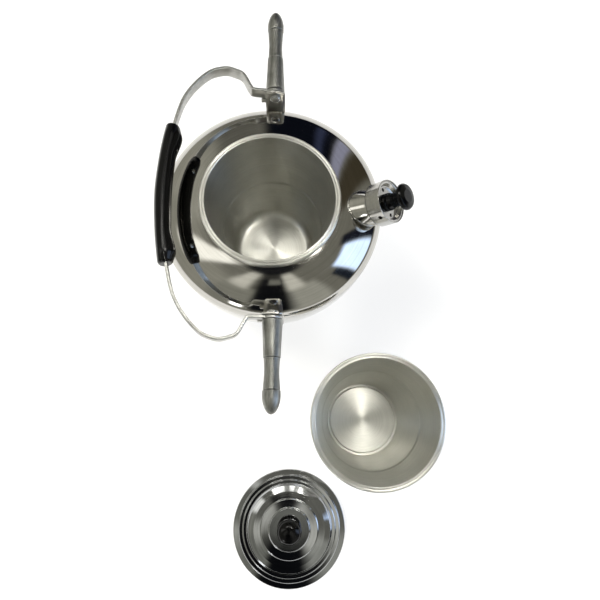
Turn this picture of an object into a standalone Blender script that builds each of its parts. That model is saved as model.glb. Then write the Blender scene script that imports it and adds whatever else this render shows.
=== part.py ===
"""Double teapot: a large whistling kettle with a folding bail and two side handles, a deep pot that hangs in its
mouth, and a tapered cup and a lid that stand beside it. The frame's origin is the centre of the kettle's base on the
table, +X points to the spout and the bail is folded towards -X. Sizes are in metres."""

from math import acos, atan2, cos, degrees, hypot, pi, radians, sin, tan

import bmesh
import bpy
from mathutils import Vector

# Clearances
GAP = 0.0003
SLIDE_GAP = 0.0005
OVERRUN = 0.002
HEAD_TOP_SHARE = 0.8

# Kettle body
BODY_R = 0.1175
SEAM_Z = 0.154
SHEET = 0.0008
SEAM_LAP = 0.004
FOOT_R = 0.090
FOOT_CORNER_R = 0.012
FOOT_CORNER_RISE = 0.0115
BASE_THICK = 0.003
BASE_CHAMFER = 0.0008
SHOULDER_REACH = 0.0675
SHOULDER_RISE = 0.0305
COLLAR_RISE = 0.0045

# Deep pot and tapered cup, which hang in the same mouth
MOUTH_INSET = 0.0515
POT_MOUTH_R = BODY_R - MOUTH_INSET
POT_DEPTH = 0.1607
POT_RING_DEPTH = 0.0858
POT_RING_INSET = 0.0092
POT_RING_R = POT_MOUTH_R - POT_RING_INSET
POT_BOTTOM_INSET = 0.0161
POT_BOTTOM_R = POT_RING_R - POT_BOTTOM_INSET
POT_CORNER_R = 0.0100
POT_CORNER_RISE = 0.012
CUP_MOUTH_INSET = 0.0002
CUP_MOUTH_R = POT_MOUTH_R - CUP_MOUTH_INSET
CUP_HEIGHT = 0.1192
CUP_RING_DEPTH = 0.0476
CUP_RING_INSET = 0.0104
CUP_RING_R = CUP_MOUTH_R - CUP_RING_INSET
CUP_BOTTOM_INSET = 0.0118
CUP_BOTTOM_R = CUP_RING_R - CUP_BOTTOM_INSET
CUP_CORNER_R = 0.0016
CUP_CORNER_RISE = 0.0040
CUP_FOOT_WIDTH = 0.0018
CUP_RECESS = 0.0022
RING_STEP = 0.0013
BEAD_THICK = 0.0033
BEAD_CAP = 0.0008
CUP_X = 0.1142
CUP_Y = -0.2194

# Lid
LID_OVERHANG = 0.0013
LID_R = POT_MOUTH_R + LID_OVERHANG
LID_SKIRT_GAP = 0.0025
LID_SKIRT_R = POT_MOUTH_R - LID_SKIRT_GAP
LID_SKIRT_RISE = 0.0085
LID_SHEET = 0.0008
LID_RISE = 0.0105
LID_HOLE_R = 0.0024
LID_KNOB_R = 0.0145
LID_KNOB_RISE = 0.019
LID_COLLAR_R = 0.0085
LID_COLLAR_THICK = 0.0018
LID_WASHER_R = 0.0080
LID_WASHER_THICK = 0.0010
LID_SCREW_R = 0.0020
LID_SCREW_HEAD_R = 0.0042
LID_SCREW_HEAD_THICK = 0.0025
LID_SCREW_DEPTH = 0.010
LID_X = 0.0216
LID_Y = -0.3463

# Spout neck, on a slanting axis that leaves the shoulder
SPOUT_INSET = 0.0154
SPOUT_R = BODY_R - SPOUT_INSET
SPOUT_TURN = radians(-2.4)
SPOUT_LIFT = radians(47)
NECK_FLARE_R = 0.0245
NECK_TOP_R = 0.0160
NECK_TUBE_R = 0.0130
NECK_WALL = 0.0012
NECK_SINK = 0.014
NECK_CONE_END = 0.0095
NECK_TUBE_START = 0.0105
NECK_TUBE_END = 0.0185
SPOUT_HOLE_R = 0.0150

# Whistle
CASE_R = 0.0220
CASE_START = 0.0112
CASE_END = 0.0282
CASE_WALL = 0.0008
CASE_EDGE_R = 0.0015
SIDE_HOLE_R = 0.0022
SIDE_HOLE_AT = 0.0225
SIDE_HOLE_TURN = radians(152)
REED_AT = 0.0192
REED_THICK = 0.0008
REED_HOLE_R = 0.0020
REED_HOLE_OFF = 0.0085
FACE_DISH_DEPTH = 0.0055
FACE_DISH_R = 0.0165
FACE_FLANGE_R = 0.0190
FACE_SHEET = 0.0008
FACE_HOLE_R = 0.0019
FACE_HOLE_OFF = 0.0132
FACE_HOLE_TURN = radians(210)
KNOB_BASE_R = 0.0090
KNOB_WAIST_R = 0.0070
KNOB_END_R = 0.0132
KNOB_LENGTH = 0.0250
KNOB_SCREW_R = 0.0015
KNOB_SCREW_HEAD_R = 0.0030
KNOB_SCREW_HEAD_THICK = 0.0009
KNOB_SCREW_DEPTH = 0.012

# Ears that carry the bail and the side handles
PIVOT_X = 0.0038
PIVOT_Z = 0.182
EAR_THICK = 0.0020
EAR_HALF_WIDTH = 0.0105
EAR_LOW_Z = 0.134
EAR_HIGH_Z = 0.192
EAR_CORNER_R = 0.005
EAR_FOOT_CORNER_R = 0.003
SADDLE_HIGH_Z = 0.157
SADDLE_DEPTH = 0.006
LUG_WIDTH = 0.0045
LUG_THICK = 0.0045
LUG_REACH = 0.0045
LUG_SINK = 0.001

# Pivot studs
STUD_R = 0.0030
STUD_HOLE_R = 0.0034
STUD_HEAD_R = 0.0055
STUD_HEAD_THICK = 0.0030
STUD_DEPTH = 0.0095

# Bail
BAIL_TILT = radians(7.5)
STRIP_THICK = 0.0030
STRIP_WIDTH = 0.0130
EYE_R = 0.0100
EYE_EXTRA = 0.0001
BAIL_REACH = 0.1083
BAIL_CREST = 0.0220
BAIL_GAP = 0.0004

# Grip
GRIP_HALF_LENGTH = 0.0728
GRIP_HEIGHT = 0.0240
GRIP_END_HEIGHT = 0.0200
GRIP_OUTER_END = 0.0080
GRIP_OUTER_MIDDLE = 0.0096
GRIP_INNER_END = 0.0065
GRIP_INNER_BUMP = 0.0104
GRIP_INNER_MIDDLE = 0.0070
GRIP_BUMP_FROM_END = 0.0120
GRIP_SCREW_FROM_END = 0.0240
GRIP_SCREW_R = 0.0018
GRIP_SCREW_HEAD_R = 0.0034
GRIP_SCREW_HEAD_THICK = 0.0016
GRIP_SCREW_DEPTH = 0.0045
GRIP_SCREW_HOLE_R = 0.0022
GRIP_SCREW_SEAT = 0.0048

# Side handles, which rise a little from the studs
HANDLE_TILT = radians(7.5)
FERRULE_ROOT_R = 0.0100
FERRULE_END_R = 0.0082
FERRULE_LENGTH = 0.0375
FERRULE_LEAD = 0.0030
HANDLE_START_R = 0.0077
HANDLE_WAIST_R = 0.0071
HANDLE_END_R = 0.0080
HANDLE_LENGTH = 0.0298
TENON_R = 0.0048
TENON_LENGTH = 0.0080
SOCKET_SLACK = 0.0010
CAP_R = 0.0085
CAP_LENGTH = 0.0216

BIG_SIDES = 36
DRUM_SIDES = 24
SMALL_SIDES = 16
TINY_SIDES = 12
ARC_STEPS = 5
CUT_TWIST_SHARE = 0.37


def clear_scene():
    for item in list(bpy.data.objects):
        bpy.data.objects.remove(item, do_unlink=True)


def finish(name, rgb, metallic, roughness):
    material = bpy.data.materials.new(name)
    material.use_nodes = True
    shader = material.node_tree.nodes["Principled BSDF"]
    shader.inputs["Base Color"].default_value = (*rgb, 1.0)
    shader.inputs["Metallic"].default_value = metallic
    shader.inputs["Roughness"].default_value = roughness
    return material


def solid(name, mesh, material, parent=None, spin=None, place=(0.0, 0.0, 0.0), smooth=True):
    """Close a bmesh into an object, with its faces turned outwards."""
    bmesh.ops.recalc_face_normals(mesh, faces=mesh.faces)
    data = bpy.data.meshes.new(name)
    mesh.to_mesh(data)
    mesh.free()
    if smooth:
        data.shade_smooth()
        data.set_sharp_from_angle(angle=radians(35))
    data.materials.append(material)
    item = bpy.data.objects.new(name, data)
    bpy.context.collection.objects.link(item)
    item.location = place
    if spin:
        item.rotation_euler = spin
    item.parent = parent
    return item


def turned(name, loop, sides, material, twist=0.0, **placing):
    """Revolve a closed loop of (radius, height) points about Z; points at radius zero close it on the axis."""
    mesh = bmesh.new()
    rings = []
    for radius, height in loop:
        if radius == 0:
            rings.append([mesh.verts.new((0.0, 0.0, height))])
            continue
        ring = []
        for side in range(sides):
            turn = 2 * pi * (side + twist) / sides
            ring.append(mesh.verts.new((radius * cos(turn), radius * sin(turn), height)))
        rings.append(ring)
    for index, ring in enumerate(rings):
        after = rings[(index + 1) % len(rings)]
        if len(ring) == 1 and len(after) == 1:
            continue
        for side in range(sides):
            beside = (side + 1) % sides
            corners = [ring[side % len(ring)], ring[beside % len(ring)]]
            corners += [after[beside % len(after)], after[side % len(after)]]
            mesh.faces.new(list(dict.fromkeys(corners)))
    return solid(name, mesh, material, **placing)


def extruded(name, outline, low, high, material, **placing):
    """Extrude a closed outline of (x, y) points along Z, from low to high."""
    mesh = bmesh.new()
    bottom = [mesh.verts.new((x, y, low)) for x, y in outline]
    face = mesh.faces.new(bottom)
    lifted = bmesh.ops.extrude_face_region(mesh, geom=[face])["geom"]
    corners = [item for item in lifted if isinstance(item, bmesh.types.BMVert)]
    bmesh.ops.translate(mesh, verts=corners, vec=(0.0, 0.0, high - low))
    return solid(name, mesh, material, smooth=False, **placing)


def tool(item):
    """Keep an object as a cutter only."""
    item.hide_render = True
    item.display_type = "WIRE"
    return item


def combine(item, other, operation):
    modifier = item.modifiers.new(operation.title(), "BOOLEAN")
    modifier.solver = "EXACT"
    modifier.operation = operation
    modifier.object = other


def drill(item, name, radius, low, high, sides=TINY_SIDES, recess=(), **placing):
    """Cut a round hole along Z, which may widen into a recess, given as (radius, height), at its low end."""
    loop = [(0.0, low), (radius, low), (radius, high), (0.0, high)]
    if recess:
        loop[1:2] = [(recess[0], low), recess, (radius, recess[1])]
    combine(item, tool(turned(name, loop, sides, STEEL, twist=CUT_TWIST_SHARE, **placing)), "DIFFERENCE")


def shifted(points, distance):
    """Move an open line of (radius, height) points sideways by a distance, to its right-hand side."""
    moved = []
    for index, point in enumerate(points):
        before = points[max(index - 1, 0)]
        after = points[min(index + 1, len(points) - 1)]
        sides = []
        for start, end in ((before, point), (point, after)):
            run = (end[0] - start[0], end[1] - start[1])
            length = hypot(*run)
            if length > 0:
                sides.append((run[1] / length, -run[0] / length))
        mean = (sum(side[0] for side in sides), sum(side[1] for side in sides))
        scale = distance / max(mean[0] * sides[0][0] + mean[1] * sides[0][1], 0.25)
        moved.append((max(point[0] + mean[0] * scale, 0.0), point[1] + mean[1] * scale))
    return moved


def arc(centre, reach, start, end, steps=ARC_STEPS):
    """Points on an elliptical arc, from one angle to another."""
    points = []
    for step in range(steps + 1):
        turn = start + (end - start) * step / steps
        points.append((centre[0] + reach[0] * cos(turn), centre[1] + reach[1] * sin(turn)))
    return points


def scaled(shares, radius, height, low=0.0):
    """Points from shares of a radius and of a height above a low end."""
    return [(share[0] * radius, low + share[1] * height) for share in shares]


# Kettle body

FLOOR_Z = BASE_THICK + GAP
CORNER_Z = FLOOR_Z + FOOT_CORNER_RISE
LAP_Z = SEAM_Z - SEAM_LAP
SHOULDER_CENTRE_R = BODY_R - SHOULDER_REACH
COLLAR_IN_R = POT_MOUTH_R + SHEET + SLIDE_GAP
COLLAR_OUT_R = COLLAR_IN_R + SHEET
BEAD_IN_R = COLLAR_OUT_R + SLIDE_GAP
WALL_STEPS = 5
SHOULDER_STEPS = 7


def shoulder_turn(radius):
    """Angle on the shoulder's elliptical arc at a radius."""
    return acos((radius - SHOULDER_CENTRE_R) / SHOULDER_REACH)


def shoulder_height(radius):
    return SEAM_Z + SHOULDER_RISE * sin(shoulder_turn(radius))


def wall_radius(height):
    """Outer radius of the bowl, whose wall swells in a parabola up to the widest circle."""
    drop = (SEAM_Z - height) / (SEAM_Z - CORNER_Z)
    return BODY_R - (BODY_R - FOOT_R) * drop ** 2


MOUTH_Z = shoulder_height(COLLAR_OUT_R)
COLLAR_TOP_Z = MOUTH_Z + COLLAR_RISE
RIM_Z = COLLAR_TOP_Z + GAP + BEAD_CAP


def bowl_line():
    """Outer line of the bowl, from the floor's centre up to the top of its seam."""
    line = [(0.0, FLOOR_Z)]
    corner = (FOOT_R - FOOT_CORNER_R, CORNER_Z)
    line += arc(corner, (FOOT_CORNER_R, FOOT_CORNER_RISE), -pi / 2, 0.0, ARC_STEPS - 2)
    for step in range(1, WALL_STEPS + 1):
        height = CORNER_Z + (LAP_Z - CORNER_Z) * step / WALL_STEPS
        line.append((wall_radius(height), height))
    return line


def shoulder_line():
    """Outer line of the shoulder, from the lower edge of its lap up to the collar's foot."""
    line = [(BODY_R, LAP_Z + GAP)]
    centre = (SHOULDER_CENTRE_R, SEAM_Z)
    reach = (SHOULDER_REACH, SHOULDER_RISE)
    return line + arc(centre, reach, 0.0, shoulder_turn(COLLAR_OUT_R), SHOULDER_STEPS)


def body_envelope():
    """A solid just larger than the body, which trims what is seated on its wall."""
    line = bowl_line() + shoulder_line()[1:]
    grown = shifted(line, GAP)
    loop = [(0.0, grown[0][1])] + grown[1:] + [(0.0, grown[-1][1])]
    return tool(turned("body_envelope", loop, BIG_SIDES, STEEL))


def kettle_bowl():
    lap_r = BODY_R - SHEET - GAP
    line = bowl_line() + [(lap_r, LAP_Z), (lap_r, SEAM_Z)]
    inside = shifted(line, -SHEET)
    return turned("kettle_bowl", line + inside[::-1], BIG_SIDES, STEEL)


def kettle_shoulder():
    line = shoulder_line()
    inside = shifted(line, -SHEET)
    collar = [(COLLAR_OUT_R, COLLAR_TOP_Z), (COLLAR_IN_R, COLLAR_TOP_Z)]
    inside[-1] = (COLLAR_IN_R, line[-1][1] - SHEET)
    item = turned("kettle_shoulder", line + collar + inside[::-1], BIG_SIDES, STEEL)
    drill(item, "spout_hole", SPOUT_HOLE_R, -NECK_SINK, NECK_SINK, SMALL_SIDES, parent=SPOUT)
    return item


def base_plate():
    radius = FOOT_R - FOOT_CORNER_R
    loop = [(0.0, 0.0), (radius - BASE_CHAMFER, 0.0), (radius, BASE_CHAMFER)]
    loop += [(radius, BASE_THICK), (0.0, BASE_THICK)]
    return turned("base_plate", loop, BIG_SIDES, STEEL)


# Spout neck and whistle, about the slanting spout axis

NECK_FLARE_SHARES = ((0.0, 0.0), (0.30, 0.22), (0.57, 0.44), (0.77, 0.64), (0.92, 0.83), (1.0, 1.0))


def axis_empty(name, place, spin=(0.0, 0.0, 0.0)):
    item = bpy.data.objects.new(name, None)
    bpy.context.collection.objects.link(item)
    item.location = place
    item.rotation_euler = spin
    return item


def spout_axis():
    place = (SPOUT_R * cos(SPOUT_TURN), SPOUT_R * sin(SPOUT_TURN), shoulder_height(SPOUT_R))
    return axis_empty("spout_axis", place, (0.0, pi / 2 - SPOUT_LIFT, SPOUT_TURN))


def spout_neck(envelope):
    line = []
    for inward, along in NECK_FLARE_SHARES:
        radius = NECK_FLARE_R + (NECK_TOP_R - NECK_FLARE_R) * inward
        line.append((radius, -NECK_SINK + (NECK_CONE_END + NECK_SINK) * along))
    line += [(NECK_TUBE_R, NECK_TUBE_START), (NECK_TUBE_R, NECK_TUBE_END)]
    inside = shifted(line, -NECK_WALL)
    inside[-1] = (inside[-1][0], NECK_TUBE_END)
    inside[0] = (inside[0][0], -NECK_SINK)
    item = turned("spout_neck", line + inside[::-1], SMALL_SIDES, STEEL, parent=SPOUT)
    combine(item, envelope, "DIFFERENCE")
    return item


def whistle_case():
    sleeve_r = NECK_TUBE_R + SLIDE_GAP
    sleeve_out_r = sleeve_r + CASE_WALL
    inner_r = CASE_R - CASE_WALL
    loop = [(sleeve_r, CASE_START)]
    corner = (CASE_R - CASE_EDGE_R, CASE_START + CASE_EDGE_R)
    loop += arc(corner, (CASE_EDGE_R, CASE_EDGE_R), -pi / 2, 0.0, 3)
    loop += [(CASE_R, CASE_END - CASE_WALL / 2), (CASE_R - CASE_WALL / 2, CASE_END), (inner_r, CASE_END)]
    loop += [(inner_r, CASE_START + CASE_EDGE_R), (CASE_R - CASE_EDGE_R, CASE_START + CASE_WALL)]
    loop += [(sleeve_out_r, CASE_START + CASE_WALL), (sleeve_out_r, NECK_TUBE_END), (sleeve_r, NECK_TUBE_END)]
    item = turned("whistle_case", loop, DRUM_SIDES, STEEL, parent=SPOUT)
    direction = (-sin(SIDE_HOLE_TURN), cos(SIDE_HOLE_TURN))
    spin = (pi / 2, 0.0, atan2(direction[1], direction[0]) + pi / 2)
    place = (0.0, 0.0, SIDE_HOLE_AT)
    drill(item, "case_side_hole", SIDE_HOLE_R, (sleeve_out_r + inner_r) / 2, CASE_R + OVERRUN,
          parent=SPOUT, spin=spin, place=place)
    return item


def whistle_reed():
    radius = CASE_R - CASE_WALL - GAP
    top = REED_AT + REED_THICK
    loop = [(0.0, REED_AT), (radius, REED_AT), (radius, top), (0.0, top)]
    item = turned("whistle_reed", loop, DRUM_SIDES, STEEL, parent=SPOUT)
    for turn in (0.0, pi):
        place = (REED_HOLE_OFF * cos(turn), REED_HOLE_OFF * sin(turn), 0.0)
        drill(item, f"reed_hole_{round(degrees(turn))}", REED_HOLE_R, REED_AT - OVERRUN / 2, top + OVERRUN / 2,
              parent=SPOUT, place=place)
    return item


def whistle_face():
    radius = CASE_R - CASE_WALL - GAP
    low = CASE_END - FACE_DISH_DEPTH
    hole_r = KNOB_SCREW_R + GAP
    line = [(hole_r, low), (FACE_DISH_R, low), (FACE_FLANGE_R, CASE_END - CASE_WALL), (radius, CASE_END - CASE_WALL)]
    under = shifted(line, FACE_SHEET)
    under[0] = (hole_r, under[0][1])
    under[-1] = (radius, under[-1][1])
    item = turned("whistle_face", line + under[::-1], DRUM_SIDES, STEEL, parent=SPOUT)
    for turn in (FACE_HOLE_TURN, FACE_HOLE_TURN + pi):
        place = (-FACE_HOLE_OFF * sin(turn), FACE_HOLE_OFF * cos(turn), 0.0)
        drill(item, f"face_hole_{round(degrees(turn))}", FACE_HOLE_R, low - FACE_SHEET - OVERRUN / 4,
              low + OVERRUN / 4, parent=SPOUT, place=place)
    return item


KNOB_SHARES = ((0.0, 0.0), (0.0, 0.14), (0.20, 0.20), (0.85, 0.32), (1.0, 0.42), (1.0, 0.58), (0.85, 0.68))
KNOB_END_SHARES = ((0.90, 0.76), (1.0, 0.80), (1.0, 0.88), (0.90, 0.96), (0.50, 1.0), (0.0, 1.0))


def whistle_knob():
    low = CASE_END - FACE_DISH_DEPTH + GAP
    bore_r = KNOB_SCREW_R + GAP
    bore_end = low + KNOB_SCREW_DEPTH + GAP
    loop = []
    for inward, along in KNOB_SHARES:
        loop.append((KNOB_BASE_R + (KNOB_WAIST_R - KNOB_BASE_R) * inward, low + KNOB_LENGTH * along))
    loop += scaled(KNOB_END_SHARES, KNOB_END_R, KNOB_LENGTH, low)
    loop += [(0.0, bore_end), (bore_r, bore_end), (bore_r, low)]
    return turned("whistle_knob", loop, SMALL_SIDES, BLACK, parent=SPOUT)


def whistle_screw():
    seat = CASE_END - FACE_DISH_DEPTH - FACE_SHEET - GAP
    end = CASE_END - FACE_DISH_DEPTH + KNOB_SCREW_DEPTH
    head = seat - KNOB_SCREW_HEAD_THICK
    loop = [(0.0, head), (KNOB_SCREW_HEAD_R, head), (KNOB_SCREW_HEAD_R, seat), (KNOB_SCREW_R, seat)]
    loop += [(KNOB_SCREW_R, end), (0.0, end)]
    return turned("whistle_screw", loop, TINY_SIDES, STEEL, parent=SPOUT)


# Pots

def rim_loop(mouth_r, bead_r, top):
    """The rolled rim, from the wall's inner line over the bead and under its hook to the wall's outer line."""
    hook_top = top - BEAD_CAP
    edge = BEAD_CAP
    loop = [(mouth_r, top - edge), (mouth_r + edge, top)]
    roll = (bead_r - BEAD_IN_R) / 2
    loop += arc((bead_r - roll, top - roll), (roll, roll), pi / 2, 0.0, 3)
    low = top - COLLAR_RISE - BEAD_CAP
    loop += [(bead_r, low + edge), (bead_r - edge, low), (BEAD_IN_R, low), (BEAD_IN_R, hook_top)]
    return loop + [(mouth_r + SHEET, hook_top)]


def vessel(name, mouth_r, bead_r, top, bottom, ring_depth, ring_r, bottom_r, corner_r, corner_rise,
           foot_width=0.0, recess=0.0, **placing):
    """A pressed vessel with one step in its wall, a round corner and a bottom that may be raised inside a foot."""
    ring_z = top - ring_depth
    line = [(0.0, bottom + recess)]
    if recess:
        foot_r = bottom_r - foot_width
        line += [(foot_r - recess / 2, bottom + recess), (foot_r, bottom)]
    line += arc((bottom_r, bottom + corner_rise), (corner_r, corner_rise), -pi / 2, 0.0, ARC_STEPS - 2)
    line += [(ring_r, ring_z - RING_STEP), (ring_r + RING_STEP, ring_z + RING_STEP)]
    lower = (ring_r + RING_STEP, ring_z + RING_STEP)
    rise = top - BEAD_CAP - lower[1]
    line.append((lower[0] + (mouth_r - lower[0]) / 2, lower[1] + rise / 2))
    outside = shifted(line, SHEET)
    loop = line + rim_loop(mouth_r, bead_r, top) + outside[::-1]
    return turned(name, loop, BIG_SIDES, STEEL, **placing)


def inner_pot():
    bead_r = BEAD_IN_R + BEAD_THICK
    return vessel("inner_pot", POT_MOUTH_R, bead_r, RIM_Z, RIM_Z - POT_DEPTH, POT_RING_DEPTH, POT_RING_R,
                  POT_BOTTOM_R, POT_CORNER_R, POT_CORNER_RISE)


def inner_cup():
    bead_r = BEAD_IN_R + BEAD_THICK - (POT_MOUTH_R - CUP_MOUTH_R)
    stand = axis_empty("cup_axis", (CUP_X, CUP_Y, 0.0))
    return vessel("inner_cup", CUP_MOUTH_R, bead_r, CUP_HEIGHT, SHEET, CUP_RING_DEPTH, CUP_RING_R,
                  CUP_BOTTOM_R, CUP_CORNER_R, CUP_CORNER_RISE, CUP_FOOT_WIDTH, CUP_RECESS, parent=stand)


# Lid

LID_TOP_SHARES = ((0.905, 0.08), (0.890, 0.17), (0.830, 0.17), (0.815, 0.25), (0.758, 0.25), (0.728, 0.48),
                  (0.630, 0.64), (0.515, 0.74), (0.500, 0.82), (0.372, 0.88), (0.352, 1.00))
LID_KNOB_SHARES = ((0.62, 0.0), (0.72, 0.06), (0.94, 0.30), (1.0, 0.48), (0.95, 0.67), (0.78, 0.85),
                   (0.48, 0.96), (0.0, 1.0))


def lid_shell():
    brim = LID_SKIRT_RISE
    edge = LID_SHEET
    loop = [(LID_SKIRT_R, 0.0), (LID_SKIRT_R, brim), (LID_R - edge, brim), (LID_R, brim + edge)]
    loop += [(LID_R - edge, brim + 2 * edge)]
    top = [(radius, height + 2 * edge) for radius, height in scaled(LID_TOP_SHARES, LID_R, LID_RISE, brim)]
    top.append((LID_HOLE_R, top[-1][1]))
    under = [(radius, height - 2 * edge) for radius, height in top]
    under[0] = (LID_SKIRT_R - edge, under[0][1])
    loop += top + under[::-1] + [(LID_SKIRT_R - edge, 0.0)]
    return turned("lid_shell", loop, BIG_SIDES, STEEL, parent=LID)


def lid_top():
    return LID_SKIRT_RISE + LID_RISE + 2 * LID_SHEET


def lid_fittings():
    seat = lid_top() + GAP
    hole_r = LID_SCREW_R + GAP
    collar = seat + LID_COLLAR_THICK
    loop = [(hole_r, seat), (LID_COLLAR_R, seat), (LID_COLLAR_R, (seat + collar) / 2)]
    loop += [(LID_COLLAR_R - LID_COLLAR_THICK / 2, collar), (hole_r, collar)]
    turned("lid_collar", loop, SMALL_SIDES, STEEL, parent=LID)
    base = collar + GAP
    bore_end = base + LID_SCREW_DEPTH + GAP
    loop = scaled(LID_KNOB_SHARES, LID_KNOB_R, LID_KNOB_RISE, base)
    loop += [(0.0, bore_end), (hole_r, bore_end), (hole_r, base)]
    turned("lid_knob", loop, SMALL_SIDES, BLACK, parent=LID)
    washer_top = lid_top() - 2 * LID_SHEET - GAP
    washer = washer_top - LID_WASHER_THICK
    loop = [(hole_r, washer), (LID_WASHER_R, washer), (LID_WASHER_R, washer_top), (hole_r, washer_top)]
    turned("lid_washer", loop, SMALL_SIDES, STEEL, parent=LID)
    head_top = washer - GAP
    head = head_top - LID_SCREW_HEAD_THICK
    end = base + LID_SCREW_DEPTH
    loop = [(0.0, head), (LID_SCREW_HEAD_R * HEAD_TOP_SHARE, head), (LID_SCREW_HEAD_R, head_top), (LID_SCREW_R, head_top)]
    loop += [(LID_SCREW_R, end), (0.0, end)]
    turned("lid_screw", loop, TINY_SIDES, STEEL, parent=LID)


# Ears and studs, built for the +Y side and mirrored for the other

EAR_IN = BODY_R + GAP
EAR_OUT = EAR_IN + EAR_THICK
EYE_IN = EAR_OUT + BAIL_GAP
EYE_OUT = EYE_IN + STRIP_THICK + 2 * EYE_EXTRA
SEAT_Y = EYE_OUT + BAIL_GAP


def rounded_plate(left, right, low, high, low_r, high_r):
    """Outline of an upright plate with round corners, as (x, z) points."""
    points = arc((left + low_r, low + low_r), (low_r, low_r), -pi, -pi / 2, 3)
    points += arc((right - low_r, low + low_r), (low_r, low_r), -pi / 2, 0.0, 3)
    points += arc((right - high_r, high - high_r), (high_r, high_r), 0.0, pi / 2, 4)
    points += arc((left + high_r, high - high_r), (high_r, high_r), pi / 2, pi, 4)
    return points


def lug_top():
    """Height of the lug, just under the lower edge of the folded strip."""
    return PIVOT_Z + EAR_HALF_WIDTH * tan(BAIL_TILT) - STRIP_WIDTH / 2 / cos(BAIL_TILT) - GAP


def ear(name, side, envelope):
    placing = {"spin": (pi / 2, 0.0, 0.0), "place": (PIVOT_X, 0.0, 0.0)}
    near, far = sorted((-side * EAR_IN, -side * EAR_OUT))
    outline = rounded_plate(-EAR_HALF_WIDTH, EAR_HALF_WIDTH, EAR_LOW_Z, EAR_HIGH_Z, EAR_FOOT_CORNER_R, EAR_CORNER_R)
    item = extruded(name, outline, near, far, STEEL, **placing)
    width = EAR_HALF_WIDTH - EAR_FOOT_CORNER_R
    outline = rounded_plate(-width, width, EAR_LOW_Z + EAR_FOOT_CORNER_R, SADDLE_HIGH_Z, EAR_FOOT_CORNER_R,
                            EAR_FOOT_CORNER_R)
    near, far = sorted((-side * (EAR_IN - SADDLE_DEPTH), -side * (EAR_OUT - EAR_THICK / 2)))
    saddle = tool(extruded(f"{name}_saddle", outline, near, far, STEEL, **placing))
    combine(saddle, envelope, "DIFFERENCE")
    combine(item, saddle, "UNION")
    top = lug_top()
    left = -EAR_HALF_WIDTH - LUG_WIDTH
    outline = [(left, top - LUG_THICK), (LUG_SINK - EAR_HALF_WIDTH, top - LUG_THICK)]
    outline += [(LUG_SINK - EAR_HALF_WIDTH, top), (left, top)]
    near, far = sorted((-side * (EAR_IN + EAR_THICK / 4), -side * (EAR_OUT + LUG_REACH)))
    lug = tool(extruded(f"{name}_lug", outline, near, far, STEEL, **placing))
    combine(item, lug, "UNION")
    drill(item, f"{name}_hole", STUD_HOLE_R, EAR_IN - OVERRUN, EAR_OUT + OVERRUN, SMALL_SIDES,
          spin=across(side), place=(PIVOT_X, 0.0, PIVOT_Z))
    return item


def across(side):
    """Rotation that turns a lathe's axis from +Z to +Y or -Y."""
    return (-side * pi / 2, 0.0, 0.0)


def pivot_stud(name, side):
    seat = EAR_IN - GAP
    head = seat - STUD_HEAD_THICK
    end = SEAT_Y + STUD_DEPTH
    loop = [(0.0, head), (STUD_HEAD_R * HEAD_TOP_SHARE, head), (STUD_HEAD_R, head + STUD_HEAD_THICK / 3), (STUD_HEAD_R, seat)]
    loop += [(STUD_R, seat), (STUD_R, end), (0.0, end)]
    return turned(name, loop, SMALL_SIDES, STEEL, spin=across(side), place=(PIVOT_X, 0.0, PIVOT_Z))


# Side handles

FERRULE_SHARES = ((0.0, 0.0), (0.0, 0.10), (0.25, 0.30), (0.65, 0.62), (0.90, 0.90), (1.0, 1.0))
HANDLE_SHARES = ((0.0, 0.0), (0.60, 0.14), (1.0, 0.36), (1.0, 0.50))
HANDLE_FAR_SHARES = ((0.30, 0.68), (0.70, 0.85), (1.0, 1.0))
CAP_SHARES = ((0.94, 0.0), (1.0, 0.05), (1.0, 0.30), (0.95, 0.45), (0.84, 0.62), (0.67, 0.78), (0.43, 0.92),
              (0.18, 0.985), (0.0, 1.0))


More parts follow.
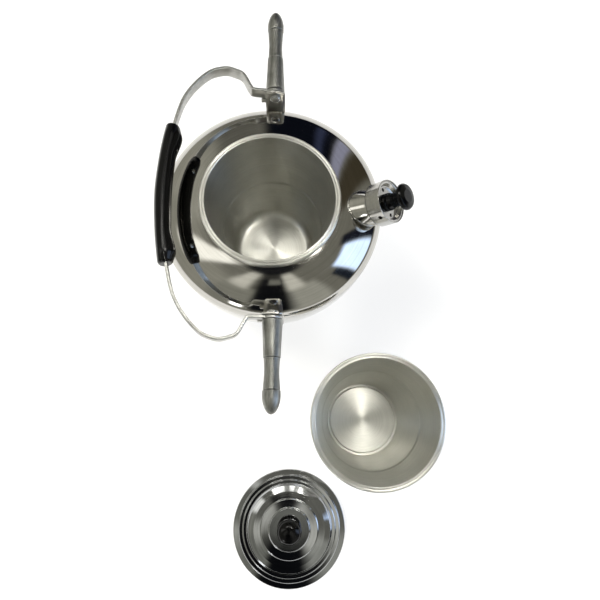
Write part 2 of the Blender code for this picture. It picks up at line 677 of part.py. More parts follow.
def side_handle(mark, side):
    spin = (-side * (pi / 2 - HANDLE_TILT), 0.0, 0.0)
    place = (PIVOT_X, side * SEAT_Y, PIVOT_Z)
    socket_r = TENON_R + GAP
    depth = TENON_LENGTH + SOCKET_SLACK
    placing = {"spin": spin, "place": place}

    loop = [(0.0, -FERRULE_LEAD)]
    for inward, along in FERRULE_SHARES:
        radius = FERRULE_ROOT_R + (FERRULE_END_R - FERRULE_ROOT_R) * inward
        loop.append((radius, -FERRULE_LEAD + (FERRULE_LENGTH + FERRULE_LEAD) * along))
    loop += [(socket_r, FERRULE_LENGTH), (socket_r, FERRULE_LENGTH - depth), (0.0, FERRULE_LENGTH - depth)]
    ferrule = turned(f"ferrule_{mark}", loop, SMALL_SIDES, STEEL, **placing)
    reach = 2 * FERRULE_ROOT_R
    block = [(-reach, -reach), (reach, -reach), (reach, reach), (-reach, reach)]
    face = tool(extruded(f"ferrule_face_{mark}", block, -reach, 0.0, STEEL, spin=across(side), place=place))
    combine(ferrule, face, "DIFFERENCE")
    drill(ferrule, f"ferrule_hole_{mark}", STUD_HOLE_R, -OVERRUN, STUD_DEPTH + GAP, SMALL_SIDES,
          spin=across(side), place=place)

    low = FERRULE_LENGTH + GAP
    high = low + HANDLE_LENGTH
    loop = [(0.0, low - TENON_LENGTH), (TENON_R, low - TENON_LENGTH), (TENON_R, low)]
    for inward, along in HANDLE_SHARES:
        loop.append((HANDLE_START_R + (HANDLE_WAIST_R - HANDLE_START_R) * inward, low + HANDLE_LENGTH * along))
    for outward, along in HANDLE_FAR_SHARES:
        loop.append((HANDLE_WAIST_R + (HANDLE_END_R - HANDLE_WAIST_R) * outward, low + HANDLE_LENGTH * along))
    loop += [(TENON_R, high), (TENON_R, high + TENON_LENGTH), (0.0, high + TENON_LENGTH)]
    turned(f"side_handle_{mark}", loop, SMALL_SIDES, GREY, **placing)

    low = high + GAP
    loop = scaled(CAP_SHARES, CAP_R, CAP_LENGTH, low)
    loop += [(0.0, low + depth), (socket_r, low + depth), (socket_r, low)]
    turned(f"handle_cap_{mark}", loop, SMALL_SIDES, GREY, **placing)


# Bail and grip, drawn in the bail's own plane: u runs from the pivots to the grip, v across

STRAIGHT_V = EYE_IN + EYE_EXTRA + STRIP_THICK / 2
PATH_REACH_SHARES = (0.201, 0.243, 0.315, 0.392, 0.469, 0.551, 0.633, 0.714, 0.787, 0.841, 0.891, 0.939, 0.969,
                     0.988, 1.0)
PATH_CREST_SHARES = (0.0, 0.14, 0.74, 0.92, 1.0, 0.92, 0.73, 0.36, -0.09, -0.52, -1.09, -2.05, -2.95, -3.95, -5.54)


def bail_path():
    """Centre line of the strip from one pivot to the other, as (u, v) points."""
    half = [(-EYE_R / 2, STRAIGHT_V)]
    for reach, crest in zip(PATH_REACH_SHARES[:-1], PATH_CREST_SHARES[:-1]):
        half.append((BAIL_REACH * reach, STRAIGHT_V + BAIL_CREST * crest))
    middle = (BAIL_REACH, 0.0)
    return half + [middle] + [(u, -v) for u, v in half[::-1]]


def smooth_line(points, steps):
    """A Catmull-Rom line through the points."""
    line = []
    for index in range(len(points) - 1):
        span = [points[max(index + step, 0)] for step in (-1, 0)]
        span += [points[min(index + step, len(points) - 1)] for step in (1, 2)]
        for step in range(steps):
            t = step / steps
            weights = (-t + 2 * t ** 2 - t ** 3, 2 - 5 * t ** 2 + 3 * t ** 3,
                       t + 4 * t ** 2 - 3 * t ** 3, t ** 3 - t ** 2)
            line.append(tuple(sum(w * p[axis] for w, p in zip(weights, span)) / 2 for axis in (0, 1)))
    return line + [points[-1]]


def bail_frame(u, v, rise=0.0):
    """A point of the bail's plane in the empty's space, where the bail runs towards -X."""
    return (-u, v, rise)


def bail_strip():
    line = smooth_line(bail_path(), 2)
    outer = shifted(line, STRIP_THICK / 2)
    inner = shifted(line, -STRIP_THICK / 2)
    outline = [(-u, v) for u, v in outer + inner[::-1]]
    item = extruded("bail_strip", outline, -STRIP_WIDTH / 2, STRIP_WIDTH / 2, SATIN, parent=BAIL)
    for side, mark in ((1, "rear"), (-1, "front")):
        loop = [(0.0, EYE_IN), (EYE_R, EYE_IN), (EYE_R, EYE_OUT), (0.0, EYE_OUT)]
        eye = tool(turned(f"bail_eye_{mark}", loop, SMALL_SIDES, SATIN, parent=BAIL, spin=across(side)))
        combine(item, eye, "UNION")
        drill(item, f"bail_hole_{mark}", STUD_HOLE_R, EYE_IN - OVERRUN, EYE_OUT + OVERRUN, SMALL_SIDES,
              parent=BAIL, spin=across(side))
        place, spin = screw_place(side)
        drill(item, f"strip_screw_hole_{mark}", GRIP_SCREW_HOLE_R, -STRIP_THICK, STRIP_THICK, parent=BAIL,
              spin=spin, place=place)
    return item


def grip_line():
    """Stations along the strip's centre line inside the grip: place, normal and distance from the nearer end."""
    line = smooth_line(bail_path(), 3)
    lengths = [0.0]
    for start, end in zip(line, line[1:]):
        lengths.append(lengths[-1] + hypot(end[0] - start[0], end[1] - start[1]))
    middle = lengths[-1] / 2
    return line, lengths, middle


def at_length(distance):
    """Point and outward normal of the strip's centre line at a distance from the middle of the grip."""
    line, lengths, middle = grip_line()
    wanted = middle - distance
    for index in range(len(line) - 1):
        if lengths[index + 1] >= wanted:
            break
    start, end = line[index], line[index + 1]
    span = lengths[index + 1] - lengths[index]
    share = (wanted - lengths[index]) / span
    point = (start[0] + (end[0] - start[0]) * share, start[1] + (end[1] - start[1]) * share)
    return point


def grip_station(distance):
    point = at_length(distance)
    ahead = at_length(distance - OVERRUN)
    behind = at_length(distance + OVERRUN)
    run = Vector((ahead[0] - behind[0], ahead[1] - behind[1])).normalized()
    return point, (-run[1], run[0])


def screw_place(side):
    """Place and rotation of a grip screw, whose axis points outwards through the strip."""
    point, normal = grip_station(side * (GRIP_HALF_LENGTH - GRIP_SCREW_FROM_END))
    turn = atan2(normal[1], -normal[0])
    return bail_frame(*point), (0.0, pi / 2, turn)


def blend(points, at):
    """Read a value from a rising list of (place, value) pairs with smooth steps between them."""
    for (start, low), (end, high) in zip(points, points[1:]):
        if at <= end:
            share = max(0.0, (at - start) / (end - start))
            share = share * share * (3 - 2 * share)
            return low + (high - low) * share
    return points[-1][1]


GRIP_STATION_SHARES = (1.0, 0.98, 0.93, 0.845, 0.76, 0.65, 0.50, 0.25, 0.0)
END_ROUND = GRIP_BUMP_FROM_END / 4


def grip_half(name, outer):
    """One moulded half of the grip, with a channel for half of the strip."""
    mesh = bmesh.new()
    shares = list(GRIP_STATION_SHARES) + [-share for share in GRIP_STATION_SHARES[-2::-1]]
    face = GAP / 2
    channel = STRIP_THICK / 2 + GAP
    channel_half = STRIP_WIDTH / 2 + GAP
    rings = []
    for share in shares:
        distance = share * GRIP_HALF_LENGTH
        point, normal = grip_station(distance)
        from_end = GRIP_HALF_LENGTH - abs(distance)
        depth = blend(((0.0, GRIP_INNER_END), (GRIP_BUMP_FROM_END, GRIP_INNER_BUMP),
                       (GRIP_HALF_LENGTH / 2, GRIP_INNER_MIDDLE), (GRIP_HALF_LENGTH, GRIP_INNER_MIDDLE)), from_end)
        if outer:
            depth = blend(((0.0, GRIP_OUTER_END), (GRIP_HALF_LENGTH, GRIP_OUTER_MIDDLE)), from_end)
        half = blend(((0.0, GRIP_END_HEIGHT / 2), (GRIP_BUMP_FROM_END, GRIP_HEIGHT / 2),
                      (GRIP_HALF_LENGTH, GRIP_HEIGHT / 2)), from_end)
        trim = max(0.0, 1 - from_end / END_ROUND)
        depth -= trim ** 2 * END_ROUND / 2
        half -= trim ** 2 * END_ROUND / 2
        ring = [(face, channel_half), (channel, channel_half), (channel, -channel_half), (face, -channel_half)]
        ring += [(face + (depth - face) * sin(pi * step / 8), -half * cos(pi * step / 8)) for step in range(9)]
        way = 1 if outer else -1
        corners = []
        for away, rise in ring:
            u = point[0] + way * away * normal[0]
            v = point[1] + way * away * normal[1]
            corners.append(mesh.verts.new(bail_frame(u, v, rise)))
        rings.append(corners)
    for start, end in zip(rings, rings[1:]):
        for index in range(len(start)):
            beside = (index + 1) % len(start)
            mesh.faces.new((start[index], start[beside], end[beside], end[index]))
    mesh.faces.new(rings[0])
    mesh.faces.new(rings[-1][::-1])
    item = solid(name, mesh, BLACK, parent=BAIL)
    for side, mark in ((1, "rear"), (-1, "front")):
        place, spin = screw_place(side)
        if outer:
            drill(item, f"outer_screw_hole_{mark}", GRIP_SCREW_HOLE_R, 0.0, STRIP_THICK / 2 + GRIP_SCREW_DEPTH + GAP,
                  parent=BAIL, spin=spin, place=place)
        else:
            recess = (GRIP_SCREW_HEAD_R + GAP, -screw_seat())
            drill(item, f"inner_screw_hole_{mark}", GRIP_SCREW_HOLE_R, -GRIP_HEIGHT, 0.0, recess=recess,
                  parent=BAIL, spin=spin, place=place)
    return item


def screw_seat():
    """Distance of the screw head's seat from the strip's centre, inside the inner half."""
    return STRIP_THICK / 2 + GRIP_SCREW_SEAT


def grip_screw(mark, side):
    seat = -screw_seat() - GAP
    head = seat - GRIP_SCREW_HEAD_THICK
    end = STRIP_THICK / 2 + GRIP_SCREW_DEPTH
    loop = [(0.0, head), (GRIP_SCREW_HEAD_R * HEAD_TOP_SHARE, head), (GRIP_SCREW_HEAD_R, head + GRIP_SCREW_HEAD_THICK / 2)]
    loop += [(GRIP_SCREW_HEAD_R, seat), (GRIP_SCREW_R, seat), (GRIP_SCREW_R, end), (0.0, end)]
    place, spin = screw_place(side)
    return turned(f"grip_screw_{mark}", loop, TINY_SIDES, STEEL, parent=BAIL, spin=spin, place=place)


clear_scene()

STEEL = finish("polished_steel", (0.62, 0.62, 0.61), 1.0, 0.12)
SATIN = finish("satin_steel", (0.50, 0.50, 0.49), 1.0, 0.32)
GREY = finish("dull_grey_metal", (0.36, 0.36, 0.36), 1.0, 0.42)
BLACK = finish("black_bakelite", (0.012, 0.012, 0.013), 0.0, 0.18)

SPOUT = spout_axis()
BAIL = axis_empty("bail_pivot", (PIVOT_X, 0.0, PIVOT_Z), (0.0, BAIL_TILT, 0.0))
LID = axis_empty("lid_axis", (LID_X, LID_Y, 0.0))

envelope = body_envelope()
kettle_bowl()
kettle_shoulder()
base_plate()
spout_neck(envelope)
whistle_case()
whistle_reed()
whistle_face()
whistle_knob()
whistle_screw()
inner_pot()
inner_cup()
lid_shell()
lid_fittings()
for side, mark in ((1, "rear"), (-1, "front")):
    ear(f"ear_{mark}", side, envelope)
    pivot_stud(f"pivot_stud_{mark}", side)
    side_handle(mark, side)
bail_strip()
grip_half("grip_outer", True)
grip_half("grip_inner", False)
for side, mark in ((1, "rear"), (-1, "front")):
    grip_screw(mark, side)
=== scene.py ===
"""Looks of the double teapot: a kettle with a folding bail, two side handles and a whistle, a deep pot that hangs in
its mouth, and a cup and a lid that stand beside it. Sizes are in metres, in the frame of the solids."""

from math import acos, atan2, cos, hypot, pi, radians, sin, tan

import bmesh
import bpy
from mathutils import Euler, Matrix, Vector

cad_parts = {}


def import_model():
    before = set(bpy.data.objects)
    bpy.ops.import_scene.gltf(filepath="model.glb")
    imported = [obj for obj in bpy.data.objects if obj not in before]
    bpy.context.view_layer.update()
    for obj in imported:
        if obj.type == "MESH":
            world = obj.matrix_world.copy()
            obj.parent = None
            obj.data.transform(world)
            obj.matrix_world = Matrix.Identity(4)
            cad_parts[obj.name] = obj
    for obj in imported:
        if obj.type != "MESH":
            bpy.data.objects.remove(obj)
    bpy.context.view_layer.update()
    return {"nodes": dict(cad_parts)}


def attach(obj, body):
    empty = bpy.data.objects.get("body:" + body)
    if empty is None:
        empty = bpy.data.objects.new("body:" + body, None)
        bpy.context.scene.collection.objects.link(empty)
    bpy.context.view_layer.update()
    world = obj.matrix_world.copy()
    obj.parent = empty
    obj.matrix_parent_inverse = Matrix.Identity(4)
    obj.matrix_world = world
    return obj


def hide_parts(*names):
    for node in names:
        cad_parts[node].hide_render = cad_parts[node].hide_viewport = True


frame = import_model()

# Sizes of the solids that the fine pieces stand for
GAP = 0.0003
SLIDE_GAP = 0.0005
SHEET = 0.0008
BODY_R = 0.1175
SEAM_Z = 0.154
SEAM_LAP = 0.004
FOOT_R = 0.090
FOOT_CORNER_R = 0.012
FOOT_CORNER_RISE = 0.0115
BASE_THICK = 0.003
BASE_EDGE = 0.0008
SHOULDER_REACH = 0.0675
SHOULDER_RISE = 0.0305
COLLAR_RISE = 0.0045
POT_MOUTH_R = 0.066
POT_DEPTH = 0.1607
POT_RING_DEPTH = 0.0858
POT_RING_R = 0.0568
POT_BOTTOM_R = 0.0407
POT_CORNER_R = 0.0100
POT_CORNER_RISE = 0.012
CUP_MOUTH_R = 0.0658
CUP_HEIGHT = 0.1192
CUP_RING_DEPTH = 0.0476
CUP_RING_R = 0.0554
CUP_BOTTOM_R = 0.0436
CUP_CORNER_R = 0.0016
CUP_CORNER_RISE = 0.0040
CUP_FOOT_WIDTH = 0.0018
CUP_RECESS = 0.0022
CUP_X = 0.1142
CUP_Y = -0.2194
RING_STEP = 0.0013
BEAD_THICK = 0.0033
BEAD_CAP = 0.0008
BEAD_GROOVE = 0.00035
LID_R = 0.0673
LID_SKIRT_R = 0.0635
LID_SKIRT_RISE = 0.0085
LID_RISE = 0.0105
LID_HOLE_R = 0.0024
LID_KNOB_R = 0.0145
LID_KNOB_RISE = 0.019
LID_COLLAR_R = 0.0085
LID_COLLAR_THICK = 0.0018
LID_X = 0.0216
LID_Y = -0.3463
SPOUT_R = 0.1021
SPOUT_TURN = radians(-2.4)
SPOUT_LIFT = radians(47)
NECK_FLARE_R = 0.0245
NECK_TOP_R = 0.0160
NECK_TUBE_R = 0.0130
NECK_WALL = 0.0012
NECK_SINK = 0.014
NECK_CONE_END = 0.0095
NECK_TUBE_START = 0.0105
NECK_TUBE_END = 0.0185
CASE_R = 0.0220
CASE_START = 0.0112
CASE_END = 0.0282
CASE_WALL = 0.0008
CASE_EDGE_R = 0.0015
SIDE_HOLE_R = 0.0022
SIDE_HOLE_AT = 0.0225
SIDE_HOLE_TURN = radians(152)
FACE_DISH_DEPTH = 0.0055
FACE_DISH_R = 0.0165
FACE_FLANGE_R = 0.0190
FACE_HOLE_R = 0.0019
FACE_HOLE_OFF = 0.0132
FACE_HOLE_TURN = radians(210)
KNOB_BASE_R = 0.0090
KNOB_WAIST_R = 0.0070
KNOB_END_R = 0.0132
KNOB_LENGTH = 0.0250
KNOB_BORE_R = 0.0018
PIVOT_X = 0.0038
PIVOT_Z = 0.182
SEAT_Y = 0.1238
STUD_HOLE_R = 0.0034
BAIL_TILT = radians(7.5)
STRIP_THICK = 0.0030
STRIP_WIDTH = 0.0130
STRIP_Y = 0.1218
EYE_R = 0.0100
BAIL_REACH = 0.1083
BAIL_CREST = 0.0220
GRIP_HALF_LENGTH = 0.0728
GRIP_HEIGHT = 0.0240
GRIP_END_HEIGHT = 0.0200
GRIP_OUTER_END = 0.0080
GRIP_OUTER_MIDDLE = 0.0096
GRIP_INNER_END = 0.0065
GRIP_INNER_BUMP = 0.0104
GRIP_INNER_MIDDLE = 0.0070
GRIP_BUMP_FROM_END = 0.0120
GRIP_SCREW_FROM_END = 0.0240
GRIP_SCREW_HEAD_R = 0.0034
GRIP_SCREW_SEAT = 0.0063
GRIP_SCREW_HEAD_THICK = 0.0016
HANDLE_TILT = radians(7.5)
FERRULE_ROOT_R = 0.0100
FERRULE_END_R = 0.0082
FERRULE_LENGTH = 0.0375
HANDLE_START_R = 0.0077
HANDLE_WAIST_R = 0.0071
HANDLE_END_R = 0.0080
HANDLE_LENGTH = 0.0298
CAP_R = 0.0085
CAP_LENGTH = 0.0216

# How finely the pieces are drawn
ROUND_SIDES = 160
SMALL_SIDES = 56
FILLET_STEPS = 4
# A strip of each flat beside a rounded corner, so that the rest of the flat mirrors as a flat
FLAT_HOLD = 0.00012
WALL_ROWS = 28
SHOULDER_ROWS = 30


# Nodes and finishes

def linear(code):
    """A six-figure sRGB code as a linear colour."""
    parts = [int(code[start:start + 2], 16) / 255 for start in (0, 2, 4)]
    return tuple(part / 12.92 if part <= 0.04045 else ((part + 0.055) / 1.055) ** 2.4 for part in parts) + (1.0,)


def add(tree, kind, inputs=None, **settings):
    """Add a node with its settings, its values and its links."""
    item = tree.nodes.new(kind)
    for key, value in settings.items():
        setattr(item, key, value)
    for key, value in (inputs or {}).items():
        if isinstance(value, bpy.types.NodeSocket):
            tree.links.new(value, item.inputs[key])
        else:
            item.inputs[key].default_value = value
    return item


def new_finish(name, metallic, roughness, **constants):
    """A material with its shader; the constants go straight on the shader's sockets, by the names they have there."""
    material = bpy.data.materials.new(name)
    material.use_nodes = True
    tree = material.node_tree
    shader = tree.nodes["Principled BSDF"]
    shader.inputs["Metallic"].default_value = metallic
    shader.inputs["Roughness"].default_value = roughness
    for key, value in constants.items():
        shader.inputs[key].default_value = value
    return material, tree, shader


def span(tree, value, low, high, from_low=0.3, from_high=0.7):
    """Map a 0 to 1 pattern to a range."""
    return add(tree, "ShaderNodeMapRange", {"Value": value, "From Min": from_low, "From Max": from_high,
                                            "To Min": low, "To Max": high}).outputs["Result"]


def tint(tree, factor, dark, light):
    mix = add(tree, "ShaderNodeMix", {0: factor, 6: linear(dark), 7: linear(light)}, data_type="RGBA")
    return mix.outputs[2]


def around(tree, centre, axis):
    """Position from a turning centre, the turning direction, and the distances along and from the axis."""
    place = add(tree, "ShaderNodeTexCoord").outputs["Object"]
    offset = add(tree, "ShaderNodeVectorMath", {0: place, 1: centre}, operation="SUBTRACT").outputs[0]
    cross = add(tree, "ShaderNodeVectorMath", {0: offset, 1: axis}, operation="CROSS_PRODUCT").outputs[0]
    turn = add(tree, "ShaderNodeVectorMath", {0: cross}, operation="NORMALIZE").outputs[0]
    away = add(tree, "ShaderNodeVectorMath", {0: cross}, operation="LENGTH").outputs["Value"]
    along = add(tree, "ShaderNodeVectorMath", {0: offset, 1: axis}, operation="DOT_PRODUCT").outputs["Value"]
    return offset, turn, away, along


def spun_steel(name, dark, light, roughness, spread, grain_mm, grain_depth, ripple_depth, centre=(0, 0, 0),
               axis=(0, 0, 1), anisotropic=0.0):
    """Stainless steel finished on a lathe: rings of fine grain about its axis, soft smears and a faint ripple."""
    constants = {"Anisotropic": anisotropic, "Anisotropic Rotation": 0.25} if anisotropic else {}
    material, tree, shader = new_finish(name, 1.0, roughness, **constants)
    offset, turn, away, along = around(tree, centre, axis)
    rings = add(tree, "ShaderNodeCombineXYZ", {0: away, 1: along, 2: 0.0}).outputs[0]
    swirl = add(tree, "ShaderNodeVectorMath", {0: turn, 1: (0.0015, 0.0015, 0.0015)}, operation="MULTIPLY").outputs[0]
    path = add(tree, "ShaderNodeVectorMath", {0: rings, 1: swirl}, operation="ADD").outputs[0]
    grain = add(tree, "ShaderNodeTexNoise", {"Vector": path, "Scale": 1000 / grain_mm, "Detail": 3.0,
                                             "Roughness": 0.65}).outputs["Fac"]
    smear = add(tree, "ShaderNodeTexNoise", {"Vector": offset, "Scale": 28.0, "Detail": 4.0,
                                             "Roughness": 0.55}).outputs["Fac"]
    both = add(tree, "ShaderNodeMath", {0: grain, 1: smear}, operation="ADD").outputs[0]
    half = add(tree, "ShaderNodeMath", {0: both, 1: 0.5}, operation="MULTIPLY").outputs[0]
    tree.links.new(tint(tree, span(tree, half, 0.0, 1.0), dark, light), shader.inputs["Base Color"])
    tree.links.new(span(tree, half, roughness - spread, roughness + spread), shader.inputs["Roughness"])
    ripple = add(tree, "ShaderNodeTexNoise", {"Vector": offset, "Scale": 45.0, "Detail": 1.0}).outputs["Fac"]
    wave = add(tree, "ShaderNodeBump", {"Height": ripple, "Distance": ripple_depth, "Strength": 1.0}).outputs[0]
    fine = add(tree, "ShaderNodeBump", {"Height": grain, "Distance": grain_depth, "Normal": wave}).outputs[0]
    tree.links.new(fine, shader.inputs["Normal"])
    if anisotropic:
        tree.links.new(turn, shader.inputs["Tangent"])
    return material


def rubbed_metal(name, dark, light, roughness, spread, direction, streak_mm, wear, depth=0.00012):
    """Dull metal rubbed along its length, with streaks and rounded edges that hands have brightened."""
    material, tree, shader = new_finish(name, 1.0, roughness)
    place = add(tree, "ShaderNodeTexCoord").outputs["Object"]
    along = add(tree, "ShaderNodeVectorMath", {0: place, 1: direction}, operation="DOT_PRODUCT").outputs["Value"]
    back = add(tree, "ShaderNodeVectorMath", {0: direction, "Scale": along}, operation="SCALE").outputs[0]
    short = add(tree, "ShaderNodeVectorMath", {0: back, "Scale": 0.94}, operation="SCALE").outputs[0]
    drawn = add(tree, "ShaderNodeVectorMath", {0: place, 1: short}, operation="SUBTRACT").outputs[0]
    streak = add(tree, "ShaderNodeTexNoise", {"Vector": drawn, "Scale": 1000 / streak_mm, "Detail": 2.0,
                                              "Roughness": 0.6}).outputs["Fac"]
    patch = add(tree, "ShaderNodeTexNoise", {"Vector": place, "Scale": 60.0, "Detail": 5.0}).outputs["Fac"]
    both = add(tree, "ShaderNodeMath", {0: streak, 1: patch}, operation="ADD").outputs[0]
    half = add(tree, "ShaderNodeMath", {0: both, 1: 0.5}, operation="MULTIPLY").outputs[0]
    edge = add(tree, "ShaderNodeNewGeometry").outputs["Pointiness"]
    bright = span(tree, edge, 0.0, wear, 0.505, 0.56)
    total = add(tree, "ShaderNodeMath", {0: span(tree, half, 0.0, 1.0), 1: bright}, operation="ADD",
                use_clamp=True).outputs[0]
    tree.links.new(tint(tree, total, dark, light), shader.inputs["Base Color"])
    tree.links.new(span(tree, half, roughness + spread, roughness - spread), shader.inputs["Roughness"])
    bump = add(tree, "ShaderNodeBump", {"Height": streak, "Distance": depth, "Strength": 0.8}).outputs[0]
    tree.links.new(bump, shader.inputs["Normal"])
    return material


def moulded_black(name, dark, light, roughness):
    """Compression-moulded bakelite: deep black gloss with faint flow marks and fine handling scuffs."""
    material, tree, shader = new_finish(name, 0.0, roughness, IOR=1.32)
    place = add(tree, "ShaderNodeTexCoord").outputs["Object"]
    flow = add(tree, "ShaderNodeTexNoise", {"Vector": place, "Scale": 55.0, "Detail": 6.0, "Roughness": 0.6,
                                            "Distortion": 0.6}).outputs["Fac"]
    scuff = add(tree, "ShaderNodeTexNoise", {"Vector": place, "Scale": 420.0, "Detail": 3.0}).outputs["Fac"]
    edge = add(tree, "ShaderNodeNewGeometry").outputs["Pointiness"]
    worn = span(tree, edge, 0.0, 0.55, 0.51, 0.58)
    total = add(tree, "ShaderNodeMath", {0: span(tree, flow, 0.0, 0.45), 1: worn}, operation="ADD",
                use_clamp=True).outputs[0]
    tree.links.new(tint(tree, total, dark, light), shader.inputs["Base Color"])
    tree.links.new(span(tree, flow, roughness - 0.05, roughness + 0.09), shader.inputs["Roughness"])
    wave = add(tree, "ShaderNodeBump", {"Height": flow, "Distance": 0.0003, "Strength": 0.25}).outputs[0]
    fine = add(tree, "ShaderNodeBump", {"Height": scuff, "Distance": 0.00004, "Strength": 0.35,
                                        "Normal": wave}).outputs[0]
    tree.links.new(fine, shader.inputs["Normal"])
    return material


# Lines and meshes

def rounded(points, closed=False, steps=FILLET_STEPS):
    """Round the corners of a line of (radius, height, fillet, zone) points."""
    line = []
    count = len(points)
    for index, (radius, height, fillet, zone) in enumerate(points):
        inner = closed or 0 < index < count - 1
        if not fillet or not inner:
            line.append((radius, height, zone))
            continue
        corner = Vector((radius, height))
        back = Vector(points[index - 1][:2]) - corner
        ahead = Vector(points[(index + 1) % count][:2]) - corner
        angle = back.angle(ahead)
        reach = min(fillet / tan(angle / 2), back.length * 0.48, ahead.length * 0.48)
        start = corner + back.normalized() * reach
        end = corner + ahead.normalized() * reach
        if back.length * 0.5 > reach + FLAT_HOLD:
            spot = start + back.normalized() * FLAT_HOLD
            line.append((spot.x, spot.y, points[index - 1][3]))
        for step in range(steps + 1):
            t = step / steps
            spot = start * (1 - t) ** 2 + corner * 2 * t * (1 - t) + end * t ** 2
            line.append((spot.x, spot.y, points[index - 1][3] if step < steps else zone))
        if ahead.length * 0.5 > reach + FLAT_HOLD:
            spot = end + ahead.normalized() * FLAT_HOLD
            line.append((spot.x, spot.y, zone))
    return line


def flowing(points, steps):
    """A Catmull-Rom line through points of any number of values."""
    line = []
    for index in range(len(points) - 1):
        four = [points[max(index - 1, 0)], points[index], points[index + 1], points[min(index + 2, len(points) - 1)]]
        for step in range(steps):
            t = step / steps
            weights = (-t + 2 * t ** 2 - t ** 3, 2 - 5 * t ** 2 + 3 * t ** 3,
                       t + 4 * t ** 2 - 3 * t ** 3, t ** 3 - t ** 2)
            line.append(tuple(sum(w * p[axis] for w, p in zip(weights, four)) / 2 for axis in range(len(points[0]))))
    return line + [tuple(points[-1])]


def shifted(points, distance):
    """Move a line of points sideways by a distance, to its right-hand side."""
    moved = []
    for index, point in enumerate(points):
        before = points[max(index - 1, 0)]
        after = points[min(index + 1, len(points) - 1)]
        sides = []
        for start, end in ((before, point), (point, after)):
            run = (end[0] - start[0], end[1] - start[1])
            length = hypot(*run)
            if length > 1e-9:
                sides.append((run[1] / length, -run[0] / length))
        mean = (sum(side[0] for side in sides), sum(side[1] for side in sides))
        scale = distance / max(mean[0] * sides[0][0] + mean[1] * sides[0][1], 0.25)
        moved.append((max(point[0] + mean[0] * scale, 0.0), point[1] + mean[1] * scale) + tuple(point[2:]))
    return moved


def sweep_turn(centre, reach, start, end, steps, zone=0):
    """Points on an elliptical arc."""
    points = []
    for step in range(steps + 1):
        turn = start + (end - start) * step / steps
        points.append((centre[0] + reach[0] * cos(turn), centre[1] + reach[1] * sin(turn), 0.0, zone))
    return points


def piece(name, mesh, materials, body, nodes):
    """Close a bmesh into a piece that rides a body and stands for its solids."""
    bmesh.ops.remove_doubles(mesh, verts=mesh.verts, dist=1e-7)
    bmesh.ops.recalc_face_normals(mesh, faces=mesh.faces)
    data = bpy.data.meshes.new(name)
    mesh.to_mesh(data)
    mesh.free()
    return dress(name, data, materials, body, nodes)


def dress(name, data, materials, body, nodes):
    """Make a mesh a piece with its finish, body and the solids that it replaces."""
    data.shade_smooth()
    data.set_sharp_from_angle(angle=radians(38))
    data.materials.clear()
    for material in materials:
        data.materials.append(material)
    item = bpy.data.objects.new(name, data)
    bpy.context.scene.collection.objects.link(item)
    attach(item, body)
    if nodes:
        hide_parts(*nodes)
    return item


def spin_mesh(line, sides, place=Matrix(), closed=False):
    """Turn a line of (radius, height, zone) points about Z; a closed line is a ring, an open one meets the axis."""
    mesh = bmesh.new()
    rings = []
    for radius, height, zone in line:
        if radius < 1e-7:
            rings.append([mesh.verts.new(place @ Vector((0.0, 0.0, height)))])
            continue
        rings.append([mesh.verts.new(place @ Vector((radius * cos(2 * pi * side / sides),
                                                      radius * sin(2 * pi * side / sides), height)))
                      for side in range(sides)])
    pairs = list(zip(rings, rings[1:] + rings[:1], line))
    if not closed:
        pairs.pop()
    for ring, after, (_, _, zone) in pairs:
        if len(ring) == 1 and len(after) == 1:
            continue
        for side in range(sides):
            beside = (side + 1) % sides
            corners = [ring[side % len(ring)], ring[beside % len(ring)]]
            corners += [after[beside % len(after)], after[side % len(after)]]
            face = mesh.faces.new(list(dict.fromkeys(corners)))
            face.material_index = zone
    return mesh


def cut(item, cutters):
    """Cut closed shapes out of a piece and keep the result as a plain mesh."""
    for cutter in cutters:
        modifier = item.modifiers.new("cut", "BOOLEAN")
        modifier.solver = "EXACT"
        modifier.operation = "DIFFERENCE"
        modifier.object = cutter
    bpy.context.view_layer.update()
    data = bpy.data.meshes.new_from_object(item.evaluated_get(bpy.context.evaluated_depsgraph_get()))
    item.modifiers.clear()
    item.data = data
    for cutter in cutters:
        bpy.data.objects.remove(cutter, do_unlink=True)


def round_cutter(radius, low, high, place, sides=32):
    mesh = spin_mesh([(0.0, low, 0), (radius, low, 0), (radius, high, 0), (0.0, high, 0)], sides, place)
    bmesh.ops.recalc_face_normals(mesh, faces=mesh.faces)
    data = bpy.data.meshes.new("cutter")
    mesh.to_mesh(data)
    mesh.free()
    item = bpy.data.objects.new("cutter", data)
    bpy.context.scene.collection.objects.link(item)
    return item


def axis_matrix(place, direction):
    """Matrix that sets local +Z along a direction from a place."""
    return Matrix.Translation(place) @ Vector(direction).to_track_quat("Z", "Y").to_matrix().to_4x4()


# Kettle body

FLOOR_Z = BASE_THICK + GAP
CORNER_Z = FLOOR_Z + FOOT_CORNER_RISE
LAP_Z = SEAM_Z - SEAM_LAP
SHOULDER_CENTRE_R = BODY_R - SHOULDER_REACH
COLLAR_IN_R = POT_MOUTH_R + SHEET + SLIDE_GAP
COLLAR_OUT_R = COLLAR_IN_R + SHEET
BEAD_IN_R = COLLAR_OUT_R + SLIDE_GAP


def shoulder_turn(radius):
    return acos((radius - SHOULDER_CENTRE_R) / SHOULDER_REACH)


def shoulder_height(radius):
    return SEAM_Z + SHOULDER_RISE * sin(shoulder_turn(radius))


MOUTH_Z = shoulder_height(COLLAR_OUT_R)
COLLAR_TOP_Z = MOUTH_Z + COLLAR_RISE
RIM_Z = COLLAR_TOP_Z + GAP + BEAD_CAP

# Mirror-polished stainless steel, buffed on a lathe: a bright cool grey that shows the room around it
POLISHED = spun_steel("mirror_polished_stainless_steel", "B4B2AC", "CDCBC6", 0.075, 0.03, 2.2, 0.000006, 0.00006)
